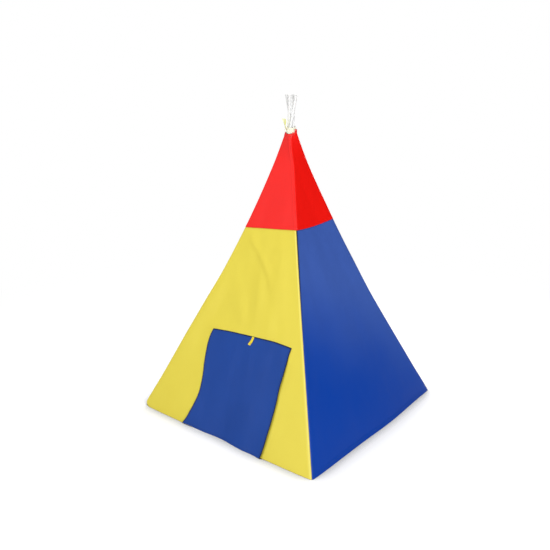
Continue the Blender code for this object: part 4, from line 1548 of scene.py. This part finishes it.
def sleeve(corner, material):
    """A puckered tube of cloth round a pole."""
    def place_at(column, z):
        way = pole_way(corner, z)
        first = way.orthogonal().normalized()
        a = math.tau * column
        pucker = rough(math.cos(a) * 1.5, math.sin(a) * 1.5, z * 60 + 7 * leg_turns[corner])
        radius = sleeve_cloth_radius + 0.0003 * pucker - 0.0001
        place = pole_at(corner, z) + (first * math.cos(a) + way.cross(first) * math.sin(a)) * radius
        # painted shade in the hollows of the puckers, and on the yellow sleeves a faint painted highlight on their
        # crests
        return place, (a * sleeve_cloth_radius, z), 0.15 * (0.5 - pucker)

    rows = shares(150, sleeve_low, bend_height)
    return cloth(f"sleeve_{corner}_cloth", shares(20)[:-1], rows, place_at, material, 0.0006, cyclic=True)


for corner in leg_turns:
    material, slot = (yellow_cloth, "cloth_yellow") if corner in ("fr", "bl") else (blue_cloth, "cloth_blue")
    piece = sleeve(corner, material)
    stand_for(piece, slot, f"sleeve_{corner}", body=f"leg_{corner}")
    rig.sheet(piece, flat=sleeve_flat, held="stretched", rests_on=[f"rod_{corner}_middle"])
print("sleeves from", sleeve_low, "to", round(bend_height, 3), "m")

# %% [markdown]
# ## The ribbon at the top
# A pale yellow tape is wound a little over three times round the crossing poles and knotted on the left,
# with two free ends and a lead that ties it down to the cloth. The winding is a helix of tape; the knot
# is a tape pulled through a trefoil, which is what an overhand knot is, swept with a flat oval so that it
# looks crumpled, not like wire.

# %% Wind the ribbon
cream_tape, end_tape = (
    cloth_material(name, colour, deep, roughness=0.42, specular=0.35)
    for name, colour, deep in (
        ("cream_ribbon", linear(250, 247, 226), linear(226, 214, 170)),
        ("cream_ribbon_ends", linear(250, 250, 152), linear(222, 214, 110)),
    )
)
tape_width = 0.010
tape_thickness = 0.0008
knot_low, knot_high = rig.box("crown_knot")
knot_centre = (knot_low + knot_high) / 2
wrap_low, wrap_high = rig.box("crown_wrap")
wrap_middle = (wrap_low.z + wrap_high.z) / 2
knot_turn = math.radians(225)
knot_way = Vector((math.cos(knot_turn), math.sin(knot_turn), 0))
knot_across = Vector((-knot_way.y, knot_way.x, 0))
upright = Vector((0, 0, 1))

wrap_turns = 3.15
wrap_fall = 0.016  # the last turn lies this much lower than the first, and slopes with the rim
wrap_radius = 0.0166
rim_slope = 0.0085
wrap_points, wrap_across, wrap_outward = [], [], []
for share in shares(220):
    a = knot_turn + math.tau * wrap_turns * (share - 0.5)
    z = wrap_middle + 0.0020 - wrap_fall * share + rim_slope * share * math.sin(a)
    z += 0.0010 * math.sin(math.pi * wrap_turns * share + 0.4)
    radius = wrap_radius + 0.00085 * wrap_turns * share + 0.045 * (crossing_height - z)
    radius += 0.0002 * rough(math.cos(a) * 2, math.sin(a) * 2, share * 4)
    radial = Vector((math.cos(a), math.sin(a), 0))
    wrap_points.append(radial * radius + upright * z)
    tilt = 0.12 * math.sin(a * 2 + share * 3)
    wrap_across.append(upright + radial * (0.06 + 0.05 * tilt) + radial.cross(upright) * tilt)
    wrap_outward.append(radial)
wrap_ways = (wrap_across, wrap_outward)
wrap = ribbon("ribbon_wrap", wrap_points, *wrap_ways, tape_width, tape_thickness, cream_tape, 8, 0.0003)
wrap_length = run_along(wrap_points)[-1]
print("ribbon wound:", round(wrap_length, 3), "m of tape")

# %% Tie the knot
knot_size = 0.0064
knot_wide, knot_thick = 0.0027, 0.0014
knot_steps, knot_round = 90, 14


def swept(name, path, ups, material):
    """A tape-like rod swept along a closed path, with a creased oval section."""
    work = bmesh.new()
    rings = []
    for k, here in enumerate(path):
        way = (path[(k + 1) % len(path)] - path[k - 1]).normalized()
        side = way.cross(ups[k]).normalized()
        top = side.cross(way)
        ring = []
        for a in (math.tau * j / knot_round for j in range(knot_round)):
            crease = 1 + 0.14 * math.cos(3 * a + k * 0.35)
            oval = side * math.cos(a) * knot_wide * crease + top * math.sin(a) * knot_thick * crease
            ring.append(work.verts.new(here + oval))
        rings.append(ring)
    for first, second in zip(rings, rings[1:] + rings[:1]):
        for j in range(knot_round):
            n = (j + 1) % knot_round
            work.faces.new((first[j], first[n], second[n], second[j]))
    thing = from_bmesh(name, work, material, 60)
    flats = thing.data.uv_layers.new(name="cloth")
    for loop in thing.data.loops:
        co = thing.data.vertices[loop.vertex_index].co
        flats.data[loop.index].uv = (co.x + co.y, co.z)
    return thing


knot_path, knot_ups = [], []
for a in (math.tau * k / knot_steps for k in range(knot_steps)):
    u = (math.sin(a) + 2 * math.sin(2 * a)) * knot_size / 3
    v = (math.cos(a) - 2 * math.cos(2 * a)) * knot_size / 3
    w = -0.0021 * math.sin(3 * a)
    knot_path.append(knot_centre + u * knot_across + v * upright + w * knot_way)
    knot_ups.append((knot_way + 0.5 * math.cos(a) * upright).normalized())
knot = swept("ribbon_knot", knot_path, knot_ups, cream_tape)
print("knot:", len(knot.data.polygons), "faces")

# %% Its free ends and its lead
tail_length = 0.040
tail_flat, lead_flat = 0.042, 0.014
tail_twist = math.radians(34)
tail_steps, lead_steps = 24, 12


def tail(name, lean, reach_out, layer):
    """A free end that leaves the knot in its layer, leans and reaches out."""
    points = []
    for v in (0.0, 0.2, 0.45, 0.7, 1.0):
        along = 0.002 + tail_length * v
        out = 0.0030 + layer * 0.0011 + reach_out * v**1.6 + 0.0012 * math.sin(5 * v + layer)
        sideways = knot_across * (along * math.sin(lean) + 0.0012 * math.sin(4 * v + 2 * layer))
        points.append(knot_centre + sideways + upright * along * math.cos(lean) + knot_way * out)
    middle = on_line(points, tail_steps)
    ways = twisted(middle, knot_way, tail_twist * (1 if layer else -1), 0.05, 0.9)
    widths = [tape_width * (0.5 + 0.5 * ramp(share, 0.0, 0.5)) for share in shares(tail_steps)]
    return ribbon(name, middle, *ways, widths, tape_thickness, end_tape, 8, 0.0012)


tail_left = tail("ribbon_end_left", math.radians(-20), 0.013, 0)
tail_right = tail("ribbon_end_right", math.radians(17), 0.004, 1)
lead_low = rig.box("crown_lead")[0].z
lead_points = [
    knot_centre + upright * up + knot_way * out
    for up, out in ((-0.003, 0.0030), (-0.008, 0.0052), (-0.013, 0.0050), (lead_low - knot_centre.z, 0.0036))
]
lead = ribbon(
    "ribbon_lead", on_line(lead_points, lead_steps), [knot_across + upright * 0.1] * (lead_steps + 1),
    [knot_way] * (lead_steps + 1), tape_width * 0.7, tape_thickness, cream_tape, cup=0.0006,
)
for piece, node, length in (
    (wrap, "crown_wrap", wrap_length), (tail_left, "crown_tail_left", tail_flat),
    (tail_right, "crown_tail_right", tail_flat), (lead, "crown_lead", lead_flat),
):
    stand_for(piece, "ribbon_cream", node, body="crown")
    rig.sheet(piece, flat=(tape_width, length), held="folded", rests_on=["rod_fl_upper"])
stand_for(knot, "ribbon_cream", "crown_knot", body="crown")
print("ends tied on", knot.name)

# %% [markdown]
# ## The doorway's tape and the inner tie
# The cut edge of the doorway is covered by a tape on the inside of the wall, and the second half of the
# door's tie hangs there too.

# %% Bind the doorway
binding_width, binding_thickness = 0.015, 0.0008
binding_low = 0.0015
binding_step = 0.006
binding_rows = (0.13, 0.87)  # where its two rows of stitches are, as shares of its width
inward = Vector((0, 1, 0))


def binding_place(column, row):
    """Column 0 is the doorway's edge and 1 the tape's outer edge; the row walks along the outline."""
    (x, z), (out_x, out_z) = binding_line[row], binding_out[row]
    x += out_x * binding_width * column
    z = max(z + out_z * binding_width * column, binding_low)
    inside = cover_thickness / math.cos(lean) + 0.0009
    y = -wall_half(z) - stand("front", x, z) + inside
    groove = 0.0003 * sum(bell(column, share, 0.06) for share in binding_rows)
    edge = 0.5 * fall(min(column, 1 - column), 0, 0.06)
    return Vector((x, y + groove, z)), (column * binding_width, binding_run[row]), edge


dense = arch(low=binding_low)
binding_line = [dense[0]]
for (x, z), (next_x, next_z) in zip(dense, dense[1:]):
    count = max(1, round(math.hypot(next_x - x, next_z - z) / binding_step))
    binding_line += [(x + (next_x - x) * share, z + (next_z - z) * share) for share in shares(count)[1:]]
binding_out, binding_run = [], [0.0]
for k, here in enumerate(binding_line):
    before, after = binding_line[max(k - 2, 0)], binding_line[min(k + 2, len(binding_line) - 1)]
    way = (after[0] - before[0], after[1] - before[1])
    size = math.hypot(*way)
    binding_out.append((way[1] / size, -way[0] / size))
    if k:
        binding_run.append(binding_run[-1] + math.dist(here, binding_line[k - 1]))
rows = range(len(binding_line))
binding = cloth("doorway_tape", shares(12), rows, binding_place, tie_material, binding_thickness)
tape_lines = [[(binding_place(column, row)[0], inward) for row in rows] for column in binding_rows]
binding_threads = stitches("doorway_tape_stitches", tape_lines, yellow_thread)
hang(binding, "front", "doorway_binding", slot="cloth_yellow")
hang(binding_threads, "front")
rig.sheet(
    binding, flat=(binding_width, binding_run[-1]), held="stretched", rests_on=["wall_front_cloth"],
    with_pieces=[binding_threads],
)
print("doorway tape:", round(binding_run[-1], 3), "m")

# %% Hang the inner tie
inner_top, inner_drop, inner_steps = 0.428, 0.075, 24
inner_points = []
for k in range(5):
    y = 0.0028 - wall_half(inner_top) - 0.0006 * k
    inner_points.append(Vector((0.043 + 0.002 * math.sin(k), y, inner_top - inner_drop * k / 4)))
inner_middle = on_line(inner_points, inner_steps)
inner_across = [Vector((1, 0, 0.04 * math.sin(k / 4))) for k in range(inner_steps + 1)]
inner_ways = (inner_across, [inward] * (inner_steps + 1))
inner_tie = ribbon(
    "inner_tie_tape", inner_middle, *inner_ways, tie_width, tie_thickness, tie_material, cup=0.0006
)
hang(inner_tie, "front", "door_tie_inner", slot="cloth_yellow")
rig.sheet(inner_tie, flat=(tie_width, 0.076), held="hung", rests_on=["wall_front_cloth"])
print("inner tie:", round(run_along(inner_middle)[-1], 3), "m")

# %% [markdown] ## Sizes, and the end The real tent's cloth sags and bellies a little, so the dressed
# tent may pass the box of the CAD model, but only by millimetres.

# %% Sizes, and the end
box_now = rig.bounds()
with open("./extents.json", "w") as sizes:
    json.dump({"cad": [list(c) for c in cad_box], "visual": [list(c) for c in box_now]}, sizes)
print("CAD box", [[round(v, 4) for v in c] for c in cad_box])
print("visual box", [[round(v, 4) for v in c] for c in box_now])
